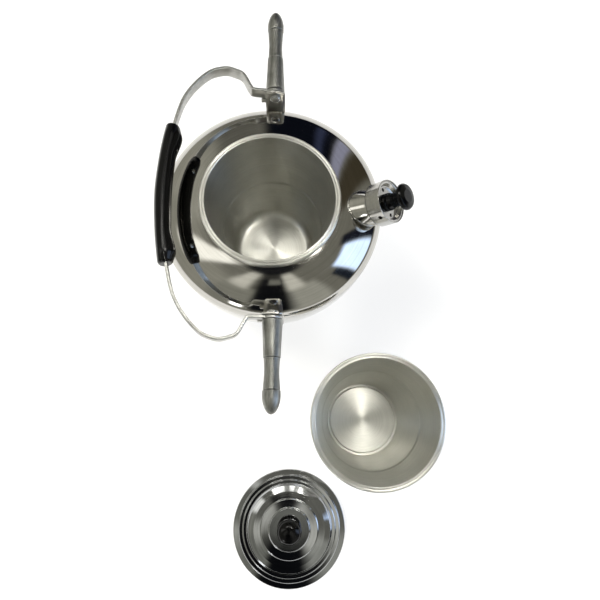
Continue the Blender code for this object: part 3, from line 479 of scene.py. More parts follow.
# Mirror-polished and slightly bluer: the lid's pressed steps, buffed about its own axis
LID_POLISH = spun_steel("mirror_polished_lid_steel", "969798", "B6B8BA", 0.06, 0.025, 1.8, 0.000005, 0.00006,
                        centre=(LID_X, LID_Y, 0.0))
# Satin stainless steel, spun: rings of grain that draw each lamp out into a streak along the wall.
# Real grain is 0.2 mm; it is drawn at about 1.2 mm, so that it shows
POT_SATIN = spun_steel("satin_spun_pot_steel", "BFBEB7", "DDDCD5", 0.35, 0.05, 1.2, 0.00001, 0.00002,
                       anisotropic=0.85)
# The cup's satin steel is the pot's satin steel with lighter colours: a painted brightening that stands in for more
# light on the cup's inside
CUP_SATIN_PAINTED_LIGHTER = spun_steel("satin_spun_cup_steel_painted_lighter", "CFCEC7", "EAE9E2", 0.36, 0.05, 1.2, 0.00001, 0.00002,
                       centre=(CUP_X, CUP_Y, 0.0), anisotropic=0.8)


def bowl():
    line = [(0.0, FLOOR_Z, 0.0, 0)]
    corner = (FOOT_R - FOOT_CORNER_R, CORNER_Z)
    line += sweep_turn(corner, (FOOT_CORNER_R, FOOT_CORNER_RISE), -pi / 2, 0.0, 10)
    for row in range(1, WALL_ROWS + 1):
        height = CORNER_Z + (LAP_Z - CORNER_Z) * row / WALL_ROWS
        drop = (SEAM_Z - height) / (SEAM_Z - CORNER_Z)
        line.append((BODY_R - (BODY_R - FOOT_R) * drop ** 2, height, 0.0, 0))
    lap_r = BODY_R - SHEET - GAP
    line += [(lap_r, LAP_Z + SHEET / 2, 0.0, 0), (lap_r, SEAM_Z, 0.0, 0)]
    outside = rounded(line)
    inside = shifted(outside, -SHEET)
    piece("bowl", spin_mesh(outside + inside[::-1], ROUND_SIDES), [POLISHED], "kettle", ["kettle_bowl"])


def shoulder():
    line = [(BODY_R - SHEET / 4, LAP_Z + GAP, 0), (BODY_R, LAP_Z + GAP + SHEET / 3, 0)]
    turn = shoulder_turn(COLLAR_OUT_R)
    arc = sweep_turn((SHOULDER_CENTRE_R, SEAM_Z), (SHOULDER_REACH, SHOULDER_RISE), 0.0, turn, SHOULDER_ROWS)
    line += [(radius, height, zone) for radius, height, _, zone in arc]
    inside = shifted(line, -SHEET)
    inside[-1] = (COLLAR_IN_R, line[-1][1] - SHEET, 0)
    collar = [(COLLAR_OUT_R, COLLAR_TOP_Z, 0), (COLLAR_IN_R, COLLAR_TOP_Z, 0)]
    mesh = spin_mesh(line + collar + inside[::-1], ROUND_SIDES, closed=True)
    item = piece("shoulder", mesh, [POLISHED], "kettle", ["kettle_shoulder"])
    cut(item, [round_cutter(0.0150, -NECK_SINK, NECK_SINK, SPOUT, 48)])
    item.data.shade_smooth()
    item.data.set_sharp_from_angle(angle=radians(38))


def base_plate():
    radius = FOOT_R - FOOT_CORNER_R
    line = rounded([(0.0, 0.0004, 0.0, 0), (radius * 0.55, 0.0004, 0.0002, 0), (radius * 0.56, 0.0, 0.0002, 0),
                    (radius, 0.0, BASE_EDGE, 0), (radius, BASE_THICK, 0.0003, 0), (0.0, BASE_THICK, 0.0, 0)])
    piece("base", spin_mesh(line, ROUND_SIDES), [POLISHED], "kettle", ["base_plate"])


# Spout and whistle

SPOUT_PLACE = Vector((SPOUT_R * cos(SPOUT_TURN), SPOUT_R * sin(SPOUT_TURN), shoulder_height(SPOUT_R)))
SPOUT = Matrix.Translation(SPOUT_PLACE) @ Euler((0.0, pi / 2 - SPOUT_LIFT, SPOUT_TURN)).to_matrix().to_4x4()
SPOUT_AXIS = (SPOUT.to_3x3() @ Vector((0.0, 0.0, 1.0))).normalized()
NECK_SHARES = ((0.0, 0.0), (0.30, 0.22), (0.57, 0.44), (0.77, 0.64), (0.92, 0.83), (1.0, 1.0))

# Nickel-plated whistle tin, lightly brushed: paler and duller than the body
TIN = spun_steel("brushed_nickel_plate", "B3B1AC", "D2D1CD", 0.20, 0.06, 1.0, 0.00001, 0.00004,
                 centre=tuple(SPOUT_PLACE), axis=tuple(SPOUT_AXIS), anisotropic=0.3)
# Compression-moulded bakelite, polished
BAKELITE = moulded_black("black_moulded_bakelite", "010101", "09090A", 0.13)
# Cast aluminium, dulled and rubbed lengthwise by hands; the streaks run away from the kettle
CAST = {side: rubbed_metal(f"rubbed_cast_aluminium_{mark}", "666661", "A8A8A3", 0.46, 0.10,
                           (0.0, side * cos(HANDLE_TILT), sin(HANDLE_TILT)), 2.2, 0.5)
        for side, mark in ((1, "rear"), (-1, "front"))}
# Satin steel strip, ground along its length, with brighter edges
STRIP = rubbed_metal("ground_steel_strip", "8E8E8A", "BCBCB8", 0.34, 0.07, (1.0, 0.0, 0.0), 3.0, 0.6)
# Zinc-plated screws and studs
ZINC = rubbed_metal("zinc_plated_steel", "A6A7A8", "D0D0CE", 0.22, 0.05, (0.0, 0.0, 1.0), 1.5, 0.3,
                    depth=0.00003)
# Drawn steel plates of the ears, polished but worn at their edges
PLATE = rubbed_metal("polished_steel_plate", "B6B5B0", "CBCAC6", 0.32, 0.05, (1.0, 0.0, 0.0), 2.5, 0.1,
                     depth=0.000004)


def above_shoulder(point):
    radius = min(hypot(point.x, point.y), BODY_R)
    return point.z - shoulder_height(radius) - GAP


def neck_side(line, sides):
    """Rows of points round the neck, each line ending where it meets the shoulder."""
    columns = []
    for side in range(sides):
        turn = 2 * pi * side / sides
        points = [SPOUT @ Vector((radius * cos(turn), radius * sin(turn), along)) for radius, along in line]
        kept = [points[0]]
        for before, point in zip(points, points[1:]):
            if above_shoulder(point) < 0:
                high, low = above_shoulder(before), above_shoulder(point)
                kept.append(before.lerp(point, high / (high - low)))
                break
            kept.append(point)
        rows = 26
        lengths = [0.0]
        for before, point in zip(kept, kept[1:]):
            lengths.append(lengths[-1] + (point - before).length)
        column = []
        for row in range(rows + 1):
            wanted = lengths[-1] * row / rows
            index = max(i for i, length in enumerate(lengths[:-1]) if length <= wanted + 1e-12)
            share = (wanted - lengths[index]) / max(lengths[index + 1] - lengths[index], 1e-9)
            column.append(kept[index].lerp(kept[index + 1], min(share, 1.0)))
        columns.append(column)
    return columns


def spout_neck():
    flare = [(NECK_FLARE_R + (NECK_TOP_R - NECK_FLARE_R) * inward, -NECK_SINK + (NECK_CONE_END + NECK_SINK) * along)
             for inward, along in NECK_SHARES]
    line = [(NECK_TUBE_R, NECK_TUBE_END), (NECK_TUBE_R, NECK_TUBE_START + 0.0006)]
    line += [(NECK_TUBE_R + 0.0008, NECK_TUBE_START), (NECK_TOP_R - 0.0012, NECK_CONE_END + 0.0003)]
    line += flowing(flare[::-1], 8)
    inner = [(radius - NECK_WALL, along) for radius, along in line]
    outside = neck_side(line, SMALL_SIDES)
    inside = neck_side(inner, SMALL_SIDES)
    mesh = bmesh.new()
    columns = []
    for out, into in zip(outside, inside):
        columns.append([mesh.verts.new(point) for point in out + into[::-1]])
    for left, right in zip(columns, columns[1:] + columns[:1]):
        for row in range(len(left)):
            after = (row + 1) % len(left)
            mesh.faces.new((left[row], right[row], right[after], left[after]))
    piece("spout_neck_fine", mesh, [POLISHED], "kettle", ["spout_neck"])
    return [column[-1] for column in outside]


def whistle():
    sleeve_r = NECK_TUBE_R + SLIDE_GAP
    sleeve_out_r = sleeve_r + CASE_WALL
    inner_r = CASE_R - CASE_WALL
    line = [(sleeve_r, CASE_START, 0.0, 0), (CASE_R, CASE_START, CASE_EDGE_R, 0)]
    line += [(CASE_R, CASE_END, 0.00045, 0), (inner_r, CASE_END, 0.0003, 0)]
    line += [(inner_r, CASE_START + CASE_WALL, 0.0008, 0), (sleeve_out_r, CASE_START + CASE_WALL, 0.0004, 0)]
    line += [(sleeve_out_r, NECK_TUBE_END, 0.0002, 0), (sleeve_r, NECK_TUBE_END, 0.0002, 0)]
    mesh = spin_mesh(rounded(line, closed=True), 96, SPOUT, closed=True)
    case = piece("whistle_drum", mesh, [TIN], "whistle", ["whistle_case"])
    out = SPOUT.to_3x3() @ Vector((-sin(SIDE_HOLE_TURN), cos(SIDE_HOLE_TURN), 0.0))
    hole = axis_matrix(SPOUT @ Vector((0.0, 0.0, SIDE_HOLE_AT)), out)
    cut(case, [round_cutter(SIDE_HOLE_R, (sleeve_out_r + inner_r) / 2, CASE_R + 0.002, hole)])
    case.data.shade_smooth()
    case.data.set_sharp_from_angle(angle=radians(38))
    low = CASE_END - FACE_DISH_DEPTH
    radius = CASE_R - CASE_WALL - GAP
    line = [(KNOB_BORE_R, low, 0.0, 0), (FACE_DISH_R, low, 0.0012, 0), (FACE_FLANGE_R, CASE_END - CASE_WALL, 0.0012, 0)]
    line += [(radius, CASE_END - CASE_WALL, 0.0, 0)]
    top = rounded(line)
    under = shifted(top, CASE_WALL)
    mesh = spin_mesh(top + under[::-1], 96, SPOUT, closed=True)
    face = piece("whistle_plate", mesh, [TIN], "whistle", ["whistle_face"])
    cutters = []
    for turn in (FACE_HOLE_TURN, FACE_HOLE_TURN + pi):
        place = SPOUT @ Vector((-FACE_HOLE_OFF * sin(turn), FACE_HOLE_OFF * cos(turn), 0.0))
        cutters.append(round_cutter(FACE_HOLE_R, low - 0.003, low + 0.001, axis_matrix(place, SPOUT_AXIS)))
    cut(face, cutters)
    face.data.shade_smooth()
    face.data.set_sharp_from_angle(angle=radians(38))


KNOB_SHARES = ((0.0, 0.0), (0.0, 0.14), (0.20, 0.20), (0.85, 0.32), (1.0, 0.42), (1.0, 0.58), (0.85, 0.68))
KNOB_END_SHARES = ((0.90, 0.76), (1.0, 0.80), (1.0, 0.88), (0.90, 0.96), (0.50, 1.0), (0.0, 1.0))


def whistle_knob():
    low = CASE_END - FACE_DISH_DEPTH + GAP
    line = [(KNOB_BORE_R, low)]
    for inward, along in KNOB_SHARES:
        line.append((KNOB_BASE_R + (KNOB_WAIST_R - KNOB_BASE_R) * inward, low + KNOB_LENGTH * along))
    line += [(KNOB_END_R * share, low + KNOB_LENGTH * along) for share, along in KNOB_END_SHARES]
    smooth = [(0.0, line[-1][1])]
    body = [(radius, height, 0.0011, 0) for radius, height in line]
    body[-1] = (0.0, body[-1][1], 0.0, 0)
    bore = low + 0.0118
    body += [(0.0, bore, 0.0, 0), (KNOB_BORE_R, bore, 0.0, 0)]
    loop = rounded(body[:-2]) + [(0.0, bore, 0), (KNOB_BORE_R, bore, 0)]
    loop = [point for index, point in enumerate(loop) if index == 0 or point[:2] != loop[index - 1][:2]]
    piece("whistle_spool", spin_mesh(loop, 64, SPOUT, closed=True), [BAKELITE], "whistle", ["whistle_knob"])


# Pot and cup

def vessel_line(mouth_r, bead_r, top, bottom, ring_depth, ring_r, bottom_r, corner_r, corner_rise, crown,
                foot_width=0.0, recess=0.0):
    """Profile of a pressed vessel. Zone 0 is its satin inside and zone 1 its polished bead and outside."""
    ring_z = top - ring_depth
    floor = bottom + recess
    line = []
    rows = 10
    flat_r = (bottom_r - foot_width - recess / 2) if recess else bottom_r
    for row in range(rows):
        share = row / rows
        line.append((flat_r * share, floor + crown * (1 - share ** 2), 0.0, 0))
    if recess:
        line += [(flat_r, floor, 0.0008, 0), (bottom_r - foot_width, bottom, 0.0005, 0)]
        line.append((bottom_r, bottom, 0.0006, 0))
        line += sweep_turn((bottom_r, bottom + corner_rise), (corner_r, corner_rise), -pi / 2, 0.0, 8)[1:]
    else:
        line += sweep_turn((bottom_r, bottom + corner_rise), (corner_r, corner_rise), -pi / 2, 0.0, 12)
    line += [(ring_r, ring_z - RING_STEP, 0.0009, 0), (ring_r + RING_STEP, ring_z + RING_STEP, 0.0009, 0)]
    start_r, start_z = ring_r + RING_STEP, ring_z + RING_STEP
    for share in (0.25, 0.5, 0.75):
        line.append((start_r + (mouth_r - start_r) * share, start_z + (top - BEAD_CAP - start_z) * share, 0.0, 0))
    line = rounded(line + [(mouth_r, top - BEAD_CAP, 0.0, 0)])
    outside = shifted(line[:-1] + [(mouth_r, top - BEAD_CAP, 0)], SHEET)
    roll = (bead_r - BEAD_IN_R) / 2
    low = top - COLLAR_RISE - BEAD_CAP
    bead = [(mouth_r + BEAD_CAP * 0.1, top - BEAD_CAP * 0.45, 1), (mouth_r + BEAD_CAP * 0.45, top - BEAD_CAP * 0.1, 1)]
    middle = (mouth_r + bead_r) / 2
    bead += [(mouth_r + BEAD_CAP, top, 1), (middle - BEAD_CAP, top - BEAD_GROOVE * 0.25, 1)]
    bead += [(middle - BEAD_CAP * 0.4, top - BEAD_GROOVE, 1), (middle, top - BEAD_GROOVE * 0.6, 1)]
    for step in range(0, 11):
        turn = pi / 2 - pi / 2 * step / 10
        bead.append((bead_r - roll + roll * cos(turn), top - roll + roll * sin(turn), 1))
    for step in range(0, 6):
        turn = -pi / 2 * step / 5
        bead.append((bead_r - BEAD_CAP + BEAD_CAP * cos(turn), low + BEAD_CAP + BEAD_CAP * sin(turn), 1))
    bead += [(BEAD_IN_R, low, 1), (BEAD_IN_R, top - BEAD_CAP, 1), (mouth_r + SHEET, top - BEAD_CAP, 1)]
    back = [(radius, height, 1) for radius, height, _ in outside[:-1][::-1]]
    return line + bead + back


def pot():
    line = vessel_line(POT_MOUTH_R, BEAD_IN_R + BEAD_THICK, RIM_Z, RIM_Z - POT_DEPTH, POT_RING_DEPTH, POT_RING_R,
                       POT_BOTTOM_R, POT_CORNER_R, POT_CORNER_RISE, 0.0009)
    piece("deep_pot", spin_mesh(line, ROUND_SIDES), [POT_SATIN, POLISHED], "pot", ["inner_pot"])


def cup():
    bead_r = BEAD_IN_R + BEAD_THICK - (POT_MOUTH_R - CUP_MOUTH_R)
    line = vessel_line(CUP_MOUTH_R, bead_r, CUP_HEIGHT, SHEET, CUP_RING_DEPTH, CUP_RING_R, CUP_BOTTOM_R,
                       CUP_CORNER_R, CUP_CORNER_RISE, 0.0005, CUP_FOOT_WIDTH, CUP_RECESS)
    place = Matrix.Translation((CUP_X, CUP_Y, 0.0))
    polish = spun_steel("mirror_polished_cup_steel", "B4B2AC", "CDCBC6", 0.10, 0.04, 2.2, 0.000005, 0.00003,
                        centre=(CUP_X, CUP_Y, 0.0))
    piece("tapered_cup", spin_mesh(line, ROUND_SIDES, place), [CUP_SATIN_PAINTED_LIGHTER, polish], "cup", ["inner_cup"])


# Lid

LID_TOP_SHARES = ((0.905, 0.08), (0.890, 0.17), (0.830, 0.17), (0.815, 0.25), (0.758, 0.25), (0.728, 0.48),
                  (0.630, 0.64), (0.515, 0.74), (0.500, 0.82), (0.372, 0.88), (0.352, 1.00))
LID_KNOB_SHARES = ((0.62, 0.0), (0.72, 0.06), (0.94, 0.30), (1.0, 0.48), (0.95, 0.67), (0.78, 0.85),
                   (0.48, 0.96), (0.0, 1.0))
LID_FILLET = 0.0009


def lid():
    place = Matrix.Translation((LID_X, LID_Y, 0.0))
    brim = LID_SKIRT_RISE
    edge = SHEET
    line = [(LID_SKIRT_R, 0.0, 0.0, 0), (LID_SKIRT_R, brim, 0.0005, 0), (LID_R - edge / 2, brim, 0.0005, 0)]
    line += [(LID_R, brim + edge, 0.0008, 0), (LID_R - edge / 2, brim + 2 * edge, 0.0006, 0)]
    top = [(LID_R * share, brim + 2 * edge + LID_RISE * rise, LID_FILLET, 0) for share, rise in LID_TOP_SHARES]
    top.append((LID_HOLE_R, top[-1][1], 0.0, 0))
    upper = rounded(line + top)
    under = shifted(rounded(top), -edge)
    under = [(radius, height - edge / 2, 0) for radius, height, _ in under]
    under[0] = (LID_SKIRT_R - edge, under[0][1], 0)
    loop = upper + under[::-1] + [(LID_SKIRT_R - edge, 0.0, 0)]
    piece("stepped_lid", spin_mesh(loop, ROUND_SIDES, place, closed=True), [LID_POLISH], "lid", ["lid_shell"])
    seat = brim + LID_RISE + 2 * edge + GAP
    collar = seat + LID_COLLAR_THICK
    bore = 0.0023
    line = [(bore, seat, 0.0, 0), (LID_COLLAR_R, seat, 0.0002, 0), (LID_COLLAR_R, collar, 0.0010, 0), (bore, collar, 0.0, 0)]
    piece("lid_ferrule", spin_mesh(rounded(line, closed=True), 72, place, closed=True), [LID_POLISH], "lid",
          ["lid_collar"])
    base = collar + GAP
    shares = flowing(LID_KNOB_SHARES, 6)
    line = [(bore, base, 0)] + [(LID_KNOB_R * share, base + LID_KNOB_RISE * rise, 0) for share, rise in shares]
    line[-1] = (0.0, line[-1][1], 0)
    line += [(0.0, base + 0.0103, 0), (bore, base + 0.0103, 0)]
    piece("lid_ball", spin_mesh(line, 80, place, closed=True), [BAKELITE], "lid", ["lid_knob"])


# Side handles

FERRULE_SHARES = ((0.0, 0.0), (0.0, 0.10), (0.25, 0.30), (0.65, 0.62), (0.90, 0.90), (1.0, 1.0))
HANDLE_SHARES = ((HANDLE_START_R, 0.0), (0.00734, 0.14), (HANDLE_WAIST_R, 0.36), (HANDLE_WAIST_R, 0.50),
                 (0.00737, 0.68), (0.00773, 0.85), (HANDLE_END_R, 1.0))
CAP_SHARES = ((0.94, 0.0), (1.0, 0.05), (1.0, 0.30), (0.95, 0.45), (0.84, 0.62), (0.67, 0.78), (0.43, 0.92),
              (0.18, 0.985), (0.0, 1.0))


def side_handle(mark, side):
    axis = Vector((0.0, side * cos(HANDLE_TILT), sin(HANDLE_TILT)))
    place = axis_matrix((PIVOT_X, side * SEAT_Y, PIVOT_Z), axis)
    lateral = place.to_3x3() @ Vector((1.0, 0.0, 0.0))
    upward = place.to_3x3() @ Vector((0.0, 1.0, 0.0))
    lead = 0.0030
    profile = [(FERRULE_ROOT_R + (FERRULE_END_R - FERRULE_ROOT_R) * inward, -lead + (FERRULE_LENGTH + lead) * along)
               for inward, along in FERRULE_SHARES]
    profile = [point for point in flowing(profile, 6) if point[1] > 0.0026]
    mesh = bmesh.new()
    rings = []
    first = []
    for number in range(SMALL_SIDES):
        turn = 2 * pi * number / SMALL_SIDES
        away = lateral * cos(turn) + upward * sin(turn)
        back = -FERRULE_ROOT_R * away.y * side / cos(HANDLE_TILT)
        first.append(mesh.verts.new(place.translation + away * FERRULE_ROOT_R + axis * back))
    middle = mesh.verts.new(place.translation)
    for start, end in zip(first, first[1:] + first[:1]):
        mesh.faces.new((middle, end, start))
    rings.append(first)
    end_rows = [(FERRULE_END_R - 0.0005, FERRULE_LENGTH), (0.0, FERRULE_LENGTH)]
    for radius, along in profile[:-1] + [(FERRULE_END_R, FERRULE_LENGTH - 0.0005)] + end_rows:
        if radius == 0:
            rings.append([mesh.verts.new(place @ Vector((0.0, 0.0, along)))])
            continue
        rings.append([mesh.verts.new(place.translation + axis * along
                                     + (lateral * cos(2 * pi * n / SMALL_SIDES)
                                        + upward * sin(2 * pi * n / SMALL_SIDES)) * radius)
                      for n in range(SMALL_SIDES)])
    for ring, after in zip(rings, rings[1:]):
        for n in range(SMALL_SIDES):
            beside = (n + 1) % SMALL_SIDES
            corners = [ring[n], ring[beside], after[beside % len(after)], after[n % len(after)]]
            mesh.faces.new(list(dict.fromkeys(corners)))
    piece(f"ferrule_fine_{mark}", mesh, [CAST[side]], "kettle", [f"ferrule_{mark}"])

    low = FERRULE_LENGTH + GAP
    line = [(0.0, low, 0), (HANDLE_START_R - 0.0004, low, 0)]
    line += [(radius, low + 0.0004 + (HANDLE_LENGTH - 0.0008) * along, 0) for radius, along in flowing(HANDLE_SHARES, 6)]
    line += [(HANDLE_END_R - 0.0004, low + HANDLE_LENGTH, 0), (0.0, low + HANDLE_LENGTH, 0)]
    piece(f"handle_bar_{mark}", spin_mesh(line, SMALL_SIDES, place), [CAST[side]], "kettle", [f"side_handle_{mark}"])
    low += HANDLE_LENGTH + GAP
    line = [(0.0, low, 0)] + [(CAP_R * share, low + CAP_LENGTH * along, 0) for share, along in flowing(CAP_SHARES, 5)]
    line[-1] = (0.0, line[-1][1], 0)
    piece(f"handle_end_{mark}", spin_mesh(line, SMALL_SIDES, place), [CAST[side]], "kettle", [f"handle_cap_{mark}"])


# Bail, drawn in its own plane: u runs from the pivots to the grip and v across

BAIL = Matrix.Translation((PIVOT_X, 0.0, PIVOT_Z)) @ Matrix.Rotation(BAIL_TILT, 4, "Y")
PATH_REACH_SHARES = (0.201, 0.243, 0.315, 0.392, 0.469, 0.551, 0.633, 0.714, 0.787, 0.841, 0.891, 0.939, 0.969,
                     0.988, 1.0)
PATH_CREST_SHARES = (0.0, 0.14, 0.74, 0.92, 1.0, 0.92, 0.73, 0.36, -0.09, -0.52, -1.09, -2.05, -2.95, -3.95, -5.54)


def bail_points(start):
    """Main points of the strip's centre line from one pivot to the other."""
    half = [start]
    for reach, crest in zip(PATH_REACH_SHARES[:-1], PATH_CREST_SHARES[:-1]):
        half.append((BAIL_REACH * reach, STRIP_Y + BAIL_CREST * crest))
    return half + [(BAIL_REACH, 0.0)] + [(u, -v) for u, v in half[::-1]]


BAIL_LINE = flowing(bail_points((-EYE_R / 2, STRIP_Y)), 10)
BAIL_LENGTHS = [0.0]
for before, point in zip(BAIL_LINE, BAIL_LINE[1:]):
    BAIL_LENGTHS.append(BAIL_LENGTHS[-1] + hypot(point[0] - before[0], point[1] - before[1]))


def at_length(distance):
    """Point of the strip's centre line at a distance from the middle of the grip."""
    wanted = BAIL_LENGTHS[-1] / 2 - distance
    index = 0
    while index < len(BAIL_LINE) - 2 and BAIL_LENGTHS[index + 1] < wanted:
        index += 1
    share = (wanted - BAIL_LENGTHS[index]) / (BAIL_LENGTHS[index + 1] - BAIL_LENGTHS[index])
    start, end = BAIL_LINE[index], BAIL_LINE[index + 1]
    return tuple(start[axis] + (end[axis] - start[axis]) * share for axis in (0, 1))


def grip_station(distance):
    step = 0.002
    ahead, behind = at_length(distance - step), at_length(distance + step)
    run = Vector((ahead[0] - behind[0], ahead[1] - behind[1])).normalized()
    return at_length(distance), (-run[1], run[0])


def blend(points, at):
    """Read a value from a rising list of (place, value) pairs with smooth steps between them."""
    for (start, low), (end, high) in zip(points, points[1:]):
        if at <= end:
            share = max(0.0, (at - start) / (end - start))
            return low + (high - low) * share * share * (3 - 2 * share)
    return points[-1][1]


def strip_half_width(u):
    """Half the strip's width: its own, or the round eye's near the pivot."""
    eye = EYE_R ** 2 - u ** 2
    eye = eye ** 0.5 if eye > 0 else 0.0
    plain = STRIP_WIDTH / 2 if u > 0 else 0.0
    return max(eye, plain)


def strip_tree():
    """A strip with rounded edges that follows a path; the path's points give its width."""
    tree = bpy.data.node_groups.new("strip_along_path", "GeometryNodeTree")
    face = tree.interface
    face.new_socket("Path", in_out="INPUT", socket_type="NodeSocketGeometry")
    face.new_socket("Thickness", in_out="INPUT", socket_type="NodeSocketFloat")
    face.new_socket("Edge Radius", in_out="INPUT", socket_type="NodeSocketFloat")
    face.new_socket("Finish", in_out="INPUT", socket_type="NodeSocketMaterial")
    face.new_socket("Strip", in_out="OUTPUT", socket_type="NodeSocketGeometry")
    given = add(tree, "NodeGroupInput").outputs
    path = add(tree, "GeometryNodeMeshToCurve", {"Mesh": given["Path"]}).outputs["Curve"]
    path = add(tree, "GeometryNodeSetCurveNormal", {"Curve": path}, mode="Z_UP").outputs["Curve"]
    section = add(tree, "GeometryNodeCurvePrimitiveQuadrilateral", {"Width": given["Thickness"],
                                                                    "Height": STRIP_WIDTH}).outputs["Curve"]
    section = add(tree, "GeometryNodeFilletCurve", {"Curve": section, "Radius": given["Edge Radius"],
                                                    "Count": 3}, mode="POLY").outputs["Curve"]
    ribbon = add(tree, "GeometryNodeCurveToMesh", {"Curve": path, "Profile Curve": section,
                                                   "Fill Caps": True}).outputs["Mesh"]
    width = add(tree, "GeometryNodeInputNamedAttribute", {"Name": "half_width"}, data_type="FLOAT").outputs[0]
    share = add(tree, "ShaderNodeMath", {0: width, 1: STRIP_WIDTH / 2}, operation="DIVIDE").outputs[0]
    place = add(tree, "ShaderNodeSeparateXYZ", {0: add(tree, "GeometryNodeInputPosition").outputs[0]}).outputs
    rise = add(tree, "ShaderNodeMath", {0: place["Z"], 1: share}, operation="MULTIPLY").outputs[0]
    moved = add(tree, "ShaderNodeCombineXYZ", {0: place["X"], 1: place["Y"], 2: rise}).outputs[0]
    ribbon = add(tree, "GeometryNodeSetPosition", {"Geometry": ribbon, "Position": moved}).outputs[0]
    ribbon = add(tree, "GeometryNodeRealizeInstances", {"Geometry": ribbon}).outputs[0]
    ribbon = add(tree, "GeometryNodeSetMaterial", {"Geometry": ribbon, "Material": given["Finish"]}).outputs[0]
    add(tree, "NodeGroupOutput", {"Strip": ribbon})
    return tree


def grown(tree, data, values):
    """Run a tree on a mesh and return its plain mesh."""
    item = bpy.data.objects.new("grown", data)
    bpy.context.scene.collection.objects.link(item)
    modifier = item.modifiers.new("grown", "NODES")
    modifier.node_group = tree
    for socket in tree.interface.items_tree:
        if socket.name in values:
            modifier[socket.identifier] = values[socket.name]
    bpy.context.view_layer.update()
    made = bpy.data.meshes.new_from_object(item.evaluated_get(bpy.context.evaluated_depsgraph_get()))
    item.modifiers.clear()
    bpy.data.objects.remove(item, do_unlink=True)
    return made


def path_mesh(points, closed=False, **attributes):
    data = bpy.data.meshes.new("path")
    edges = [(index, index + 1) for index in range(len(points) - 1)]
    if closed:
        edges.append((len(points) - 1, 0))
    data.from_pydata([tuple(point) for point in points], edges, [])
    for key, values in attributes.items():
        data.attributes.new(key, "FLOAT", "POINT").data.foreach_set("value", values)
    return data


def bail():
    eye = [(-EYE_R * cos(radians(turn)), STRIP_Y) for turn in range(6, 90, 12)]
    straight = [(u, STRIP_Y) for u in (0.0, 0.002, 0.004, 0.0055, 0.0068, 0.0076, 0.009, 0.013)]
    half = flowing(bail_points((0.0, STRIP_Y)), 10)
    bend = [point for point in half[:len(half) // 2 + 1] if point[0] > 0.0145]
    line = eye + straight + bend
    line = line + [(u, -v) for u, v in line[-2::-1]]
    widths = [strip_half_width(u) for u, v in line]
    data = path_mesh([(-u, v, 0.0) for u, v in line], half_width=widths)
    made = grown(strip_tree(), data, {"Thickness": STRIP_THICK, "Edge Radius": 0.0006, "Finish": STRIP})
    made.transform(BAIL)
    item = dress("bail_strip_fine", made, [STRIP], "bail", ["bail_strip"])
    cutters = []
    for side in (1, -1):
        place = axis_matrix((PIVOT_X, side * STRIP_Y, PIVOT_Z), (0.0, side, 0.0))
        cutters.append(round_cutter(STUD_HOLE_R, -STRIP_THICK, STRIP_THICK, place))
    cut(item, cutters)
    item.data.shade_smooth()
    item.data.set_sharp_from_angle(angle=radians(38))


def grip_half(name, outer, node):
    """One moulded half of the grip, with a channel for half of the strip."""
    mesh = bmesh.new()
    stations = 90
    around_steps = 20
    face = GAP / 2
    channel = STRIP_THICK / 2 + GAP
    channel_half = STRIP_WIDTH / 2 + GAP
    end_round = GRIP_BUMP_FROM_END / 4
    rings = []
    for number in range(stations + 1):
        share = cos(pi * number / stations)
        share = share * (1.35 - 0.35 * share ** 2)
        distance = share * GRIP_HALF_LENGTH
        point, normal = grip_station(distance)
        from_end = GRIP_HALF_LENGTH - abs(distance)
        depth = blend(((0.0, GRIP_INNER_END), (GRIP_BUMP_FROM_END, GRIP_INNER_BUMP),
                       (GRIP_HALF_LENGTH / 2, GRIP_INNER_MIDDLE), (GRIP_HALF_LENGTH, GRIP_INNER_MIDDLE)), from_end)
        if outer:
            depth = blend(((0.0, GRIP_OUTER_END), (GRIP_HALF_LENGTH, GRIP_OUTER_MIDDLE)), from_end)
        half = blend(((0.0, GRIP_END_HEIGHT / 2), (GRIP_BUMP_FROM_END, GRIP_HEIGHT / 2),
                      (GRIP_HALF_LENGTH, GRIP_HEIGHT / 2)), from_end)
        trim = max(0.0, 1 - from_end / end_round)
        depth -= (1 - (1 - trim ** 2) ** 0.5) * end_round
        half -= (1 - (1 - trim ** 2) ** 0.5) * end_round
        ring = [(face, channel_half), (channel, channel_half), (channel, -channel_half), (face, -channel_half)]
        edge = 0.0006
        for step in range(around_steps + 1):
            turn = pi * step / around_steps
            full = 0.86
            lift = abs(sin(turn)) ** full
            across = -half * (abs(cos(turn)) ** full) * (1 if cos(turn) > 0 else -1)
            across = max(-half, min(half, across))
            ring.append((face + (depth - face) * lift, across))
        way = 1 if outer else -1
        corners = []
        for away, rise in ring:
            u = point[0] + way * away * normal[0]
            v = point[1] + way * away * normal[1]
            corners.append(mesh.verts.new(BAIL @ Vector((-u, v, rise))))
        rings.append(corners)
    for start, end in zip(rings, rings[1:]):
        for index in range(len(start)):
            beside = (index + 1) % len(start)
            mesh.faces.new((start[index], start[beside], end[beside], end[index]))
    mesh.faces.new(rings[0])
    mesh.faces.new(rings[-1][::-1])
    return piece(name, mesh, [BAKELITE], "bail", [node])


def screw_frame(side):
    """Matrix of a grip screw: its local +Z points out through the strip."""
    point, normal = grip_station(side * (GRIP_HALF_LENGTH - GRIP_SCREW_FROM_END))
    start = BAIL @ Vector((-point[0], point[1], 0.0))
    end = BAIL @ Vector((-point[0] - normal[0], point[1] + normal[1], 0.0))
    return axis_matrix(start, end - start)


def grip():
    grip_half("grip_back", True, "grip_outer")
    inner = grip_half("grip_front", False, "grip_inner")
    cutters = []
    for side in (1, -1):
        cutters.append(round_cutter(GRIP_SCREW_HEAD_R + GAP, -GRIP_HEIGHT, -GRIP_SCREW_SEAT, screw_frame(side), 40))
    cut(inner, cutters)
    inner.data.shade_smooth()
    inner.data.set_sharp_from_angle(angle=radians(38))


